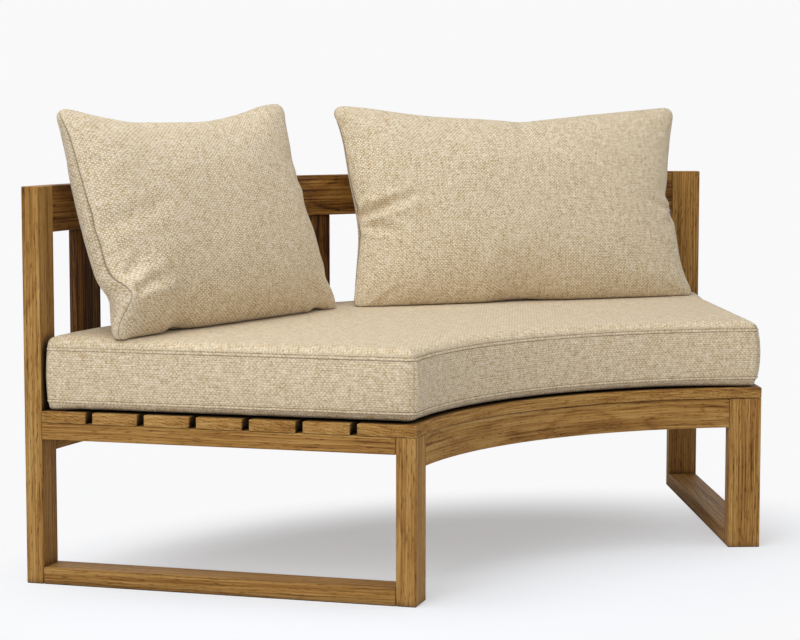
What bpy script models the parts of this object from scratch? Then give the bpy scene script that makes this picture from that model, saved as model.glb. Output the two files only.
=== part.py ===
"""One section of a circular teak bench, with a loose seat cushion and two loose back pillows.

Plan coordinates are worked out around the centre of the full circle: a radius grows from the front edge of the
seat to its back, and an angle runs along the seat from its middle, positive to the right. Lengths are in metres.
"""

import math

import bmesh
import bpy
from mathutils import Vector
from mathutils.bvhtree import BVHTree

# Plan of the section
half_angle = math.radians(35.7)
front_radius = 0.767
seat_depth = 0.760
arc_steps = 24

# Heights above the floor
back_height = 0.745
seat_height = 0.327

# Posts, legs, runners and end rails of the two end frames
member_width = 0.065
post_depth = 0.034
leg_depth = 0.038
runner_height = 0.032
end_rail_height = 0.032

# Seat slats, counted from the front
slat_count = 7
slat_thickness = 0.021
slat_gap = 0.014
front_slat_width = 0.110

# Aprons, bearers and the back
apron_height = 0.060
front_apron_thickness = 0.025
bearer_width = 0.045
bearer_height = 0.032
bearer_angle = math.radians(12.0)
top_rail_height = 0.087
back_slat_width = 0.085
back_slat_thickness = 0.018
side_back_slat_angle = math.radians(27.6)
middle_back_slat_angle = math.radians(-1.1)

# Joinery
clearance = 0.0003
arris = 0.0015
tenon_length = 0.020
stub_tenon_length = 0.012
tenon_root = 0.008
tenon_shoulder = 0.008
slat_tenon_length = 0.025
slat_tenon_shoulder = 0.004
end_rail_tenon_width = 0.020

# Seat screws
screw_length = 0.045
screw_shank_radius = 0.00225
screw_head_radius = 0.0045
screw_head_height = 0.0035
screw_point_height = 0.004
screw_sides = 8
cut_overrun = 0.002
weld_distance = 0.0001

# Seat cushion
cushion_end_inset = 0.013
cushion_front_inset = 0.008
cushion_back_inset = 0.007
cushion_low_seam_height = 0.016
cushion_high_seam_height = 0.116
cushion_side_bulge = 0.006
cushion_edge_roll = 0.011
cushion_edge_rise = 0.009
cushion_crown = 0.017
crown_end_power = 14
crown_side_power = 4
cushion_seam_crease = 0.45
cushion_corner_crease = 0.65
cushion_columns = 14
cushion_rows = 5

# Back pillows
pillow_thickness = 0.165
pillow_top_draw = 0.022
pillow_bend = 0.010
pillow_fullness_power = 0.46
pillow_sag_share = 0.12
pillow_seam_crease = 0.9
pillow_tip_crease = 0.8
pillow_columns = 12
pillow_rows = 8
left_pillow_width = 0.764
right_pillow_width = 0.828
left_pillow_height = 0.442
right_pillow_height = 0.434
left_pillow_side_draw = 0.020
right_pillow_side_draw = 0.033
left_pillow_inner_angle = math.radians(-2.3)
right_pillow_inner_angle = math.radians(-1.2)
left_pillow_rail_gap = 0.137
right_pillow_rail_gap = 0.124
left_pillow_lean = math.radians(17.5)
right_pillow_lean = math.radians(15.5)
left_pillow_turn = math.radians(2.6)
right_pillow_turn = math.radians(0.5)
resting_gap = 0.0005

# Sizes that follow from those above
back_radius = front_radius + seat_depth
post_face_radius = back_radius - post_depth
slat_underside = seat_height - slat_thickness
end_rail_underside = slat_underside - end_rail_height
apron_underside = slat_underside - apron_height
top_rail_underside = back_height - top_rail_height
narrow_slat_width = (
    (seat_depth - post_depth - clearance - front_slat_width - (slat_count - 1) * slat_gap) / (slat_count - 1)
)
front_apron_radius = math.hypot(front_radius, member_width)
back_face_radius = math.hypot(post_face_radius, member_width)
back_outer_radius = math.hypot(back_radius, member_width)
rail_middle_radius = (back_face_radius + back_outer_radius) / 2
front_corner_depth = front_radius * math.cos(half_angle) + arris * math.sin(half_angle)
plan_centre_depth = (front_corner_depth + back_outer_radius) / 2
cushion_bottom = seat_height + clearance

for old_object in list(bpy.data.objects):
    bpy.data.objects.remove(old_object, do_unlink=True)

parts = bpy.data.collections.new("circular_bench")
cutters = bpy.data.collections.new("cutters")
bpy.context.scene.collection.children.link(parts)
bpy.context.scene.collection.children.link(cutters)


def make_material(name, colour, roughness, metallic=0.0):
    """A plain surface of one colour."""
    material = bpy.data.materials.new(name)
    material.use_nodes = True
    shader = material.node_tree.nodes["Principled BSDF"]
    shader.inputs["Base Color"].default_value = (*colour, 1.0)
    shader.inputs["Roughness"].default_value = roughness
    shader.inputs["Metallic"].default_value = metallic
    return material


def teak(name):
    """Oiled teak."""
    return make_material(name, (0.36, 0.20, 0.075), 0.55)


def linen(name):
    """Beige linen-like outdoor cloth."""
    return make_material(name, (0.60, 0.51, 0.38), 0.90)


def polar(radius, angle, height):
    """Point at a radius and angle of the circle, angle positive to the right."""
    return Vector((radius * math.sin(angle), radius * math.cos(angle), height))


def add_object(name, mesh, parent, collection):
    """Link a mesh under its parent empty."""
    item = bpy.data.objects.new(name, mesh)
    item.parent = parent
    collection.objects.link(item)
    return item


def add_station(name, angle, parent):
    """Empty at the circle's centre whose local Y points along the radius at an angle."""
    station = bpy.data.objects.new(name, None)
    station.parent = parent
    station.rotation_euler.z = -angle
    parts.objects.link(station)
    return station


def add_box(name, low, high, station, collection=parts):
    """Box between two corners given in the station's own coordinates, standing on its own centre."""
    low = Vector(low)
    high = Vector(high)
    mesh = bpy.data.meshes.new(name)
    bm = bmesh.new()
    bmesh.ops.create_cube(bm, size=1)
    bmesh.ops.scale(bm, vec=high - low, verts=bm.verts)
    bm.to_mesh(mesh)
    bm.free()
    box = add_object(name, mesh, station, collection)
    box.location = (low + high) / 2
    return box


def ease_edges(item):
    """Take the sharp arrises off a wooden piece."""
    bevel = item.modifiers.new("arris", "BEVEL")
    bevel.width = arris
    bevel.segments = 1
    bevel.limit_method = "ANGLE"


def add_member(name, low, high, station):
    """Straight wooden piece with eased edges."""
    member = add_box(name, low, high, station)
    member.data.materials.append(teak(name))
    ease_edges(member)
    return member


def add_curved_board(name, inner_radius, outer_radius, bottom, height, end_distance):
    """Board bent along the circle, its ends cut parallel to the end planes at a distance from them."""
    facet_stretch = 1 / math.cos(half_angle / arc_steps)
    mesh = bpy.data.meshes.new(name)
    bm = bmesh.new()
    bmesh.ops.create_grid(bm, x_segments=arc_steps, y_segments=1, size=1)
    for vert in bm.verts:
        radius = inner_radius * facet_stretch if vert.co.y < 0 else outer_radius
        reach = half_angle - math.asin(end_distance / radius)
        vert.co = polar(radius, vert.co.x * reach, bottom)
    bm.to_mesh(mesh)
    bm.free()
    board = add_object(name, mesh, circle_centre, parts)
    board.data.materials.append(teak(name))
    depth = board.modifiers.new("height", "SOLIDIFY")
    depth.thickness = height
    depth.offset = 1
    ease_edges(board)
    return board


def boolean(item, operation, tool):
    """Join or cut an item with a helper solid."""
    modifier = item.modifiers.new(tool.name, "BOOLEAN")
    modifier.operation = operation
    modifier.object = tool
    modifier.solver = "EXACT"


def hide_helper(helper):
    """Show a helper solid as wires and keep it out of the finished bench."""
    helper.display_type = "WIRE"
    helper.hide_render = True


def mortise_and_tenon(tenoned, mortised, low, high, station):
    """Tenon block on one piece between two corners, and the mortise with clearance in the piece that takes it."""
    name = f"{tenoned.name}_into_{mortised.name}"
    tenon = add_box(f"{name}_tenon", low, high, station, cutters)
    hide_helper(tenon)
    boolean(tenoned, "UNION", tenon)
    ease = Vector((clearance, clearance, clearance))
    mortise = add_box(f"{name}_mortise", Vector(low) - ease, Vector(high) + ease, station, cutters)
    hide_helper(mortise)
    boolean(mortised, "DIFFERENCE", mortise)


def turned_mesh(name, profile):
    """Closed profile line of a turned piece, listed from its top down the outside to its foot."""
    mesh = bpy.data.meshes.new(name)
    points = [(radius, 0, height) for radius, height in profile]
    edges = [(index, index + 1) for index in range(len(points) - 1)]
    mesh.from_pydata(points, edges, [])
    return mesh


def turn(item):
    """Revolve a profile line around its own Z axis."""
    screw = item.modifiers.new("turned", "SCREW")
    screw.steps = screw_sides
    screw.render_steps = screw_sides
    screw.use_merge_vertices = True
    screw.merge_threshold = weld_distance


def screw_outline(ease):
    """Countersunk wood screw, point upwards from its head's face at height zero, grown by an ease all round."""
    return [
        (0, screw_length + ease),
        (screw_shank_radius + ease, screw_length - screw_point_height + ease),
        (screw_shank_radius + ease, screw_head_height),
        (screw_head_radius + ease, 0),
    ]


def mirrored(side, low, high):
    """Corners of a box given inwards from the left end plane, turned over for the right end when side is -1."""
    if side > 0:
        return Vector(low), Vector(high)
    return Vector((-high[0], low[1], low[2])), Vector((-low[0], high[1], high[2]))


# The empties that carry the pieces
circle_centre = bpy.data.objects.new("circle_centre", None)
circle_centre.location.y = -plan_centre_depth
parts.objects.link(circle_centre)


def build_end_frame(side_name, side):
    """Leg, runner, post and end rail of one end, joined with mortises and tenons."""
    station = add_station(f"{side_name}_end", -side * half_angle, circle_centre)
    leg_back = front_radius + leg_depth
    rail_front = leg_back + clearance
    rail_back = post_face_radius - clearance

    def member(name, low, high):
        return add_member(f"{side_name}_{name}", *mirrored(side, low, high), station)

    post = member("rear_post", (0, post_face_radius, 0), (member_width, back_radius, back_height))
    leg = member("front_leg", (0, front_radius, 0), (member_width, leg_back, slat_underside - clearance))
    runner = member("runner", (0, rail_front, 0), (member_width, rail_back, runner_height))
    end_rail = member(
        "end_rail",
        (0, rail_front, end_rail_underside),
        (member_width, rail_back, slat_underside - clearance),
    )
    tenons = (
        (runner, tenon_shoulder, member_width - tenon_shoulder, 0, runner_height),
        (
            end_rail,
            tenon_shoulder,
            tenon_shoulder + end_rail_tenon_width,
            end_rail_underside,
            slat_underside - clearance,
        ),
    )
    for rail, near, far, bottom, top in tenons:
        low_height = bottom + tenon_shoulder
        high_height = top - tenon_shoulder
        mortise_and_tenon(
            rail,
            leg,
            *mirrored(side, (near, leg_back - tenon_length, low_height), (far, rail_front + tenon_root, high_height)),
            station,
        )
        mortise_and_tenon(
            rail,
            post,
            *mirrored(
                side,
                (near, rail_back - tenon_root, low_height),
                (far, post_face_radius + tenon_length, high_height),
            ),
            station,
        )
    return {"station": station, "side": side, "post": post, "leg": leg, "end_rail": end_rail}


def join_board_to_end(board, member, frame, radii, bottom, top):
    """Tenon on the end of a curved board, into the inner face of a post or leg."""
    inner_depth, outer_depth = (math.sqrt(radius**2 - member_width**2) for radius in radii)
    low = (member_width - tenon_length, inner_depth + tenon_shoulder, bottom + tenon_shoulder)
    high = (member_width + clearance + tenon_root, outer_depth - tenon_shoulder, top - tenon_shoulder)
    mortise_and_tenon(board, member, *mirrored(frame["side"], low, high), frame["station"])


def build_curved_rails(frames):
    """Front apron, rear apron and top rail, each tenoned into both end frames."""
    boards = {}
    front_radii = (front_apron_radius, front_apron_radius + front_apron_thickness)
    back_radii = (back_face_radius, back_outer_radius)
    plans = (
        ("front_apron", "leg", front_radii, apron_underside, slat_underside - clearance),
        ("rear_apron", "post", back_radii, apron_underside, slat_underside),
        ("top_rail", "post", back_radii, top_rail_underside, back_height),
    )
    for name, carrier, radii, bottom, top in plans:
        board = add_curved_board(name, *radii, bottom, top - bottom, member_width + clearance)
        for frame in frames:
            join_board_to_end(board, frame[carrier], frame, radii, bottom, top)
        boards[name] = board
    return boards


def build_back_slat(name, angle, boards):
    """Upright slat of the back, tenoned into the rear apron and the top rail."""
    station = add_station(f"{name}_station", angle, circle_centre)
    half_width = back_slat_width / 2
    inner = rail_middle_radius - back_slat_thickness / 2
    outer = rail_middle_radius + back_slat_thickness / 2
    foot = slat_underside + clearance
    head = top_rail_underside - clearance
    slat = add_member(name, (-half_width, inner, foot), (half_width, outer, head), station)
    tenon_half_width = half_width - tenon_shoulder
    tenon_inner = inner + slat_tenon_shoulder
    tenon_outer = outer - slat_tenon_shoulder
    mortise_and_tenon(
        slat,
        boards["rear_apron"],
        (-tenon_half_width, tenon_inner, slat_underside - slat_tenon_length),
        (tenon_half_width, tenon_outer, foot + tenon_root),
        station,
    )
    mortise_and_tenon(
        slat,
        boards["top_rail"],
        (-tenon_half_width, tenon_inner, head - tenon_root),
        (tenon_half_width, tenon_outer, top_rail_underside + slat_tenon_length),
        station,
    )


def build_bearer(name, angle, boards):
    """Rail under the seat slats, tenoned into both aprons."""
    station = add_station(f"{name}_station", angle, circle_centre)
    half_width = bearer_width / 2
    apron_back = front_apron_radius + front_apron_thickness
    front = apron_back + clearance
    back = math.sqrt(back_face_radius**2 - half_width**2) - clearance
    bottom = slat_underside - bearer_height
    top = slat_underside - clearance
    bearer = add_member(name, (-half_width, front, bottom), (half_width, back, top), station)
    tenon_half_width = half_width - tenon_shoulder
    mortise_and_tenon(
        bearer,
        boards["front_apron"],
        (-tenon_half_width, apron_back - stub_tenon_length, bottom + tenon_shoulder),
        (tenon_half_width, front + tenon_root, top - tenon_shoulder),
        station,
    )
    mortise_and_tenon(
        bearer,
        boards["rear_apron"],
        (-tenon_half_width, back - tenon_root, bottom + tenon_shoulder),
        (tenon_half_width, back_face_radius + stub_tenon_length, top - tenon_shoulder),
        station,
    )
    return {"station": station, "rail": bearer, "offset": 0, "underside": bottom}


def build_seat_slats():
    """Seat slats from the front to the back, with their middle radii."""
    slats = []
    inner = front_radius
    for number in range(1, slat_count + 1):
        width = front_slat_width if number == 1 else narrow_slat_width
        slat = add_curved_board(f"seat_slat_{number}", inner, inner + width, slat_underside, slat_thickness, 0)
        slats.append((slat, inner + width / 2))
        inner += width + slat_gap
    return slats


def fasten_slats(support_name, support, slats):
    """One countersunk screw from below through a support into each seat slat."""
    hole_mouth = [(screw_head_radius + clearance, -cut_overrun), (0, -cut_overrun)]
    screw_mesh = turned_mesh(f"{support_name}_screw", screw_outline(0) + [(0, 0)])
    hole_mesh = turned_mesh(f"{support_name}_screw_hole", screw_outline(clearance) + hole_mouth)
    for number, (slat, radius) in enumerate(slats, start=1):
        place = Vector((support["offset"], radius, support["underside"] + clearance))
        screw = add_object(f"{support_name}_screw_{number}", screw_mesh, support["station"], parts)
        screw.location = place
        turn(screw)
        hole = add_object(f"{support_name}_screw_{number}_hole", hole_mesh, support["station"], cutters)
        hole.location = place
        turn(hole)
        hide_helper(hole)
        boolean(support["rail"], "DIFFERENCE", hole)
        boolean(slat, "DIFFERENCE", hole)
    screw_mesh.materials.append(make_material(f"{support_name}_screw", (0.62, 0.60, 0.56), 0.35, 1.0))


def add_stacked_grid(bm, columns, rows, layers):
    """Block of a unit grid, with its layers at whole heights from zero."""
    bmesh.ops.create_grid(bm, x_segments=columns, y_segments=rows, size=1)
    for layer in range(1, layers):
        top_faces = [face for face in bm.faces if all(round(v.co.z) == layer - 1 for v in face.verts)]
        grown = bmesh.ops.extrude_face_region(bm, geom=top_faces)
        moved = [item for item in grown["geom"] if isinstance(item, bmesh.types.BMVert)]
        bmesh.ops.translate(bm, verts=moved, vec=Vector((0, 0, 1)))
        if layer > 1:
            bmesh.ops.delete(bm, geom=top_faces, context="FACES_ONLY")


def crown_share(along, across):
    """Share of the crown's height at a place on the cushion, from none at its edges to all in its middle."""
    return (1 - abs(along) ** crown_end_power) * (1 - abs(across) ** crown_side_power)


def cushion_point(along, across, layer):
    """Place on the seat cushion: bottom, low seam, middle of the side, high seam and top are layers 0 to 4."""
    heights = (
        0,
        cushion_low_seam_height,
        (cushion_low_seam_height + cushion_high_seam_height) / 2,
        cushion_high_seam_height,
        cushion_high_seam_height + cushion_edge_rise,
    )
    insets = (cushion_edge_roll, 0, -cushion_side_bulge, 0, cushion_edge_roll)
    height = heights[layer]
    if layer == 4:
        height += cushion_crown * crown_share(along, across)
    inset = insets[layer]
    inner = front_radius + cushion_front_inset + inset
    outer = post_face_radius - cushion_back_inset - inset
    radius = inner + (outer - inner) * (across + 1) / 2
    reach = half_angle - math.asin((cushion_end_inset + inset) / radius)
    return polar(radius, along * reach, cushion_bottom + height)


def build_seat_cushion():
    """Boxed cushion that follows the seat, crowned on top, its sides standing out between the two seams."""
    mesh = bpy.data.meshes.new("seat_cushion")
    bm = bmesh.new()
    add_stacked_grid(bm, cushion_columns, cushion_rows, 5)
    crease = bm.edges.layers.float.new("crease_edge")
    for edge in bm.edges:
        layers = {round(v.co.z) for v in edge.verts}
        on_side = all(math.isclose(max(abs(v.co.x), abs(v.co.y)), 1) for v in edge.verts)
        at_corner = all(math.isclose(min(abs(v.co.x), abs(v.co.y)), 1) for v in edge.verts)
        if at_corner and len(layers) == 2:
            edge[crease] = cushion_corner_crease
        elif on_side and layers in ({1}, {3}):
            edge[crease] = cushion_seam_crease
    for vert in bm.verts:
        vert.co = cushion_point(vert.co.x, vert.co.y, round(vert.co.z))
    bmesh.ops.recalc_face_normals(bm, faces=bm.faces)
    bm.to_mesh(mesh)
    bm.free()
    cushion = add_object("seat_cushion", mesh, circle_centre, parts)
    finish_soft(cushion)
    return cushion


def finish_soft(item):
    """Cloth colour and a rounded surface on a soft piece's coarse cage."""
    item.data.materials.append(linen(item.name))
    rounded = item.modifiers.new("rounded", "SUBSURF")
    rounded.levels = 1
    rounded.render_levels = 1
    item.data.shade_smooth()


def pillow_point(across, up, face, width, height, side_draw):
    """Place on an upright pillow: straight along its foot, drawn in at its sides and top, hollow towards the seat."""
    width_share = 1 - across**2
    height_share = (up + 1) / 2
    half_width = width / 2 - side_draw * (1 - up**2)
    level = height * height_share - pillow_top_draw * width_share * height_share**2
    fullness_share = (width_share * (1 - up**2)) ** pillow_fullness_power * (1 - pillow_sag_share * up)
    depth = face * pillow_thickness / 2 * fullness_share + pillow_bend * width_share
    return Vector((half_width * across, depth, level))


def build_pillow(name, width, height, side_draw, inner_corner, side, lean, turn_angle):
    """Knife-edged pillow, thick in the middle, leaning on the back to the left or right of its inner lower corner.

    The corner is given as an angle of the circle and a gap to the top rail's inner face in plan.
    """
    corner_angle, rail_gap = inner_corner
    corner_radius = back_face_radius - rail_gap
    half_spread = math.asin(width / 2 / corner_radius)
    angle = corner_angle + side * half_spread
    radius = corner_radius * math.cos(half_spread)
    mesh = bpy.data.meshes.new(name)
    bm = bmesh.new()
    edge_crease = bm.edges.layers.float.new("crease_edge")
    corner_crease = bm.verts.layers.float.new("crease_vert")
    for face in (-1, 1):
        sheet = bmesh.ops.create_grid(bm, x_segments=pillow_columns, y_segments=pillow_rows, size=1)
        for vert in sheet["verts"]:
            vert.co = pillow_point(vert.co.x, vert.co.y, face, width, height, side_draw)
            if len(vert.link_edges) == 2:
                vert[corner_crease] = pillow_tip_crease
    for edge in bm.edges:
        if edge.is_boundary:
            edge[edge_crease] = pillow_seam_crease
    bmesh.ops.remove_doubles(bm, verts=bm.verts, dist=weld_distance)
    bmesh.ops.recalc_face_normals(bm, faces=bm.faces)
    bm.to_mesh(mesh)
    bm.free()
    pillow = add_object(name, mesh, circle_centre, parts)
    pillow.location = polar(radius, angle, back_height)
    pillow.rotation_euler = (-lean, 0, -angle + turn_angle)
    finish_soft(pillow)
    return pillow


def finished_surface(item):
    """Points and search tree of a piece's finished surface in the bench's frame."""
    finished = item.evaluated_get(bpy.context.evaluated_depsgraph_get())
    mesh = finished.to_mesh()
    points = [finished.matrix_world @ vert.co for vert in mesh.vertices]
    tree = BVHTree.FromPolygons(points, [list(face.vertices) for face in mesh.polygons])
    finished.to_mesh_clear()
    return points, tree


def rest_on(item, support):
    """Lower a piece until it lies on a support, a small gap apart."""
    item_points, item_tree = finished_surface(item)
    support_points, support_tree = finished_surface(support)
    drops = []
    for points, tree, way in ((item_points, support_tree, -1), (support_points, item_tree, 1)):
        for point in points:
            drop = tree.ray_cast(point, Vector((0, 0, way)))[3]
            if drop is not None:
                drops.append(drop)
    item.location.z -= min(drops) - resting_gap


def build_bench():
    """Every piece of the bench."""
    left = build_end_frame("left", 1)
    right = build_end_frame("right", -1)
    boards = build_curved_rails((left, right))
    build_back_slat("left_back_slat", -side_back_slat_angle, boards)
    build_back_slat("middle_back_slat", middle_back_slat_angle, boards)
    build_back_slat("right_back_slat", side_back_slat_angle, boards)
    supports = {
        "left_bearer": build_bearer("left_bearer", -bearer_angle, boards),
        "right_bearer": build_bearer("right_bearer", bearer_angle, boards),
    }
    for name, frame in (("left_rail", left), ("right_rail", right)):
        supports[name] = {
            "station": frame["station"],
            "rail": frame["end_rail"],
            "offset": frame["side"] * member_width / 2,
            "underside": end_rail_underside,
        }
    slats = build_seat_slats()
    for name, support in supports.items():
        fasten_slats(name, support, slats)
    cushion = build_seat_cushion()
    left_pillow = build_pillow(
        "left_pillow",
        left_pillow_width,
        left_pillow_height,
        left_pillow_side_draw,
        (left_pillow_inner_angle, left_pillow_rail_gap),
        -1,
        left_pillow_lean,
        left_pillow_turn,
    )
    right_pillow = build_pillow(
        "right_pillow",
        right_pillow_width,
        right_pillow_height,
        right_pillow_side_draw,
        (right_pillow_inner_angle, right_pillow_rail_gap),
        1,
        right_pillow_lean,
        right_pillow_turn,
    )
    for pillow in (left_pillow, right_pillow):
        rest_on(pillow, cushion)


build_bench()
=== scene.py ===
"""Dress one section of a circular teak bench, with its seat cushion and two pillows, for a plain studio.

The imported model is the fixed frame. Lengths are in metres. Plan positions are worked out round the centre of the
full circle: a radius grows from the hollow front of the seat to its back, an angle runs to the right.
"""

from __future__ import annotations

import logging
import math
from dataclasses import dataclass, replace
from enum import Enum
from functools import partial

import bmesh
import bpy
import numpy as np
from mathutils import Euler, Matrix, Vector


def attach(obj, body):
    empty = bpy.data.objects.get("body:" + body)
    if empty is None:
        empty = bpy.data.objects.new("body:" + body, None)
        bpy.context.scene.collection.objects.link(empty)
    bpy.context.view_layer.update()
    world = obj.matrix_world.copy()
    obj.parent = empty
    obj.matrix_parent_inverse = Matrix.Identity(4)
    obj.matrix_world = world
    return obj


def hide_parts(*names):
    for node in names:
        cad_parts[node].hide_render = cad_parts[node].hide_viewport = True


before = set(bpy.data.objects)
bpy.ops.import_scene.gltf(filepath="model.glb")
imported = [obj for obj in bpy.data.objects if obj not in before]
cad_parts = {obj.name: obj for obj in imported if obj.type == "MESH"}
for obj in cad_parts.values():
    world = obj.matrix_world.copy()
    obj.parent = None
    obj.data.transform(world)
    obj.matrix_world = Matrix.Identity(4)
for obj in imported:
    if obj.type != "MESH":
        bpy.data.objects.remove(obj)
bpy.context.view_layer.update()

log = logging.getLogger("bench")

MILLIMETRE = 0.001
MATH, VECTOR_MATH, MIX, NOISE = "ShaderNodeMath", "ShaderNodeVectorMath", "ShaderNodeMix", "ShaderNodeTexNoise"


def linear_colour(hex_code: str) -> tuple[float, float, float, float]:
    """Turn an sRGB hex colour into linear red, green, blue and alpha.

    Args:
        hex_code: Six hex digits after a hash sign.

    Returns:
        The linear colour with full alpha.
    """
    channels = [int(hex_code[start:start + 2], 16) / 255 for start in (1, 3, 5)]
    linear = [c / 12.92 if c <= 0.04045 else ((c + 0.055) / 1.055) ** 2.4 for c in channels]
    return (*linear, 1.0)


def feed(tree: bpy.types.NodeTree, node: bpy.types.Node, inputs: dict) -> None:
    """Set a node's inputs.

    Args:
        tree: The tree that holds the node.
        node: The node.
        inputs: Socket name or number to a value, to an output socket, or to a node whose first output feeds it.
    """
    for key, source in inputs.items():
        if isinstance(source, bpy.types.Node):
            source = source.outputs[0]
        if isinstance(source, bpy.types.NodeSocket):
            tree.links.new(source, node.inputs[key])
        else:
            node.inputs[key].default_value = source


def add_node(tree: bpy.types.NodeTree, kind: str, inputs: dict | None = None, **settings: object) -> bpy.types.Node:
    """Add one node to a tree, with its settings and its links.

    Args:
        tree: The shader or geometry tree.
        kind: The node's type name.
        inputs: What goes into its sockets, as feed takes it.
        **settings: Attributes of the node itself.

    Returns:
        The new node.
    """
    node = tree.nodes.new(kind)
    for name, value in settings.items():
        setattr(node, name, value)
    feed(tree, node, inputs or {})
    return node


def new_material(name: str) -> tuple[bpy.types.Material, bpy.types.NodeTree, bpy.types.Node]:
    """Make a material.

    Args:
        name: Its name.

    Returns:
        The material, its tree and its Principled shader.
    """
    material = bpy.data.materials.new(name)
    material.use_nodes = True
    return material, material.node_tree, material.node_tree.nodes["Principled BSDF"]


def new_geometry_tree(name: str, inputs: dict[str, str], output: str) -> tuple[bpy.types.NodeTree, object]:
    """Make a geometry tree with named inputs and one geometry output.

    Args:
        name: The tree's name.
        inputs: Each input's name and kind, in order.
        output: The output's name.

    Returns:
        The tree, and the sockets that bring its inputs in.
    """
    tree = bpy.data.node_groups.new(name, "GeometryNodeTree")
    for label, kind in inputs.items():
        tree.interface.new_socket(label, in_out="INPUT", socket_type=f"NodeSocket{kind}")
    tree.interface.new_socket(output, in_out="OUTPUT", socket_type="NodeSocketGeometry")
    return tree, add_node(tree, "NodeGroupInput").outputs


def end_geometry_tree(tree: bpy.types.NodeTree, shape: bpy.types.Node, finish: bpy.types.NodeSocket) -> None:
    """Lead a geometry tree's shape to its output, made real and dressed.

    Args:
        tree: The geometry tree.
        shape: The node that gives the shape.
        finish: The socket that brings the material in.
    """
    real = add_node(tree, "GeometryNodeRealizeInstances", {0: shape})
    dressed = add_node(tree, "GeometryNodeSetMaterial", {"Geometry": real, "Material": finish})
    add_node(tree, "NodeGroupOutput", {0: dressed})


def run_tree(item: bpy.types.Object, tree: bpy.types.NodeTree, values: dict[str, object]) -> None:
    """Put a geometry tree on an object, its inputs set by their identifiers.

    Args:
        item: The object.
        tree: The geometry tree.
        values: Each input's value by its name.
    """
    modifier = item.modifiers.new(tree.name, "NODES")
    modifier.node_group = tree
    for socket in tree.interface.items_tree:
        if socket.in_out == "INPUT" and socket.name in values:
            modifier[socket.identifier] = values[socket.name]


def set_stops(ramp: bpy.types.ColorRamp, stops: list[tuple[float, tuple[float, ...]]]) -> None:
    """Set the stops of a colour ramp.

    Args:
        ramp: The ramp.
        stops: Place and colour of each stop, in order.
    """
    while len(ramp.elements) > 1:
        ramp.elements.remove(ramp.elements[-1])
    ramp.elements[0].position, ramp.elements[0].color = stops[0]
    for place, colour in stops[1:]:
        ramp.elements.new(place).color = colour


def new_object(name: str, mesh: bpy.types.Mesh) -> bpy.types.Object:
    """Link a mesh to the scene as an object at the origin.

    Args:
        name: The object's name.
        mesh: Its mesh.

    Returns:
        The object.
    """
    item = bpy.data.objects.new(name, mesh)
    bpy.context.scene.collection.objects.link(item)
    return item


def bake_modifiers(item: bpy.types.Object) -> None:
    """Turn an object's modifiers into its plain mesh.

    Args:
        item: The object, whose mesh is replaced.
    """
    bpy.context.view_layer.update()
    evaluated = item.evaluated_get(bpy.context.evaluated_depsgraph_get())
    mesh = bpy.data.meshes.new_from_object(evaluated)
    item.modifiers.clear()
    item.data = mesh
    mesh.name = item.name


@dataclass(frozen=True)
class Plan:
    """The bench's plan and heights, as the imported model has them."""

    half_angle: float = math.radians(35.7)
    front_radius: float = 0.767
    seat_depth: float = 0.760
    member_width: float = 0.065
    post_depth: float = 0.034
    arris: float = 0.0015
    back_height: float = 0.745
    seat_height: float = 0.327
    clearance: float = 0.0003

    @property
    def back_radius(self) -> float:
        """Radius of the end planes' rear corners."""
        return self.front_radius + self.seat_depth

    @property
    def post_face_radius(self) -> float:
        """Radius of the front faces of the rear posts."""
        return self.back_radius - self.post_depth

    @property
    def back_face_radius(self) -> float:
        """Inner radius of the rear apron and the top rail."""
        return math.hypot(self.post_face_radius, self.member_width)

    @property
    def back_outer_radius(self) -> float:
        """Outer radius of the rear apron and the top rail."""
        return math.hypot(self.back_radius, self.member_width)

    @property
    def centre_depth(self) -> float:
        """Distance of the circle's centre in front of the frame's origin."""
        front = self.front_radius * math.cos(self.half_angle) + self.arris * math.sin(self.half_angle)
        return (front + self.back_outer_radius) / 2

    def point(self, radius: float, angle: float, height: float) -> Vector:
        """Point at a radius and an angle of the circle."""
        return Vector((radius * math.sin(angle), radius * math.cos(angle) - self.centre_depth, height))


PLAN = Plan()


class GrainRun(Enum):
    """How the grain of a teak piece runs."""

    UPRIGHT = "upright"
    LEVEL = "level"
    ROUND = "round the circle"


@dataclass(frozen=True)
class SawnFrom:
    """Where in the log a piece was sawn.

    The pith is the log's centre line. A pith far off gives straight lines on the faces, a near one gives flames.
    """

    run: GrainRun
    heading: float = 0.0
    pith: tuple[float, float, float] = (0.0, 0.0, 0.0)
    # How much darker the piece is: its own tone, and on the top rail and the back slats also painted shade.
    tone: float = 0.0
    flatness: float = 1.0


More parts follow.
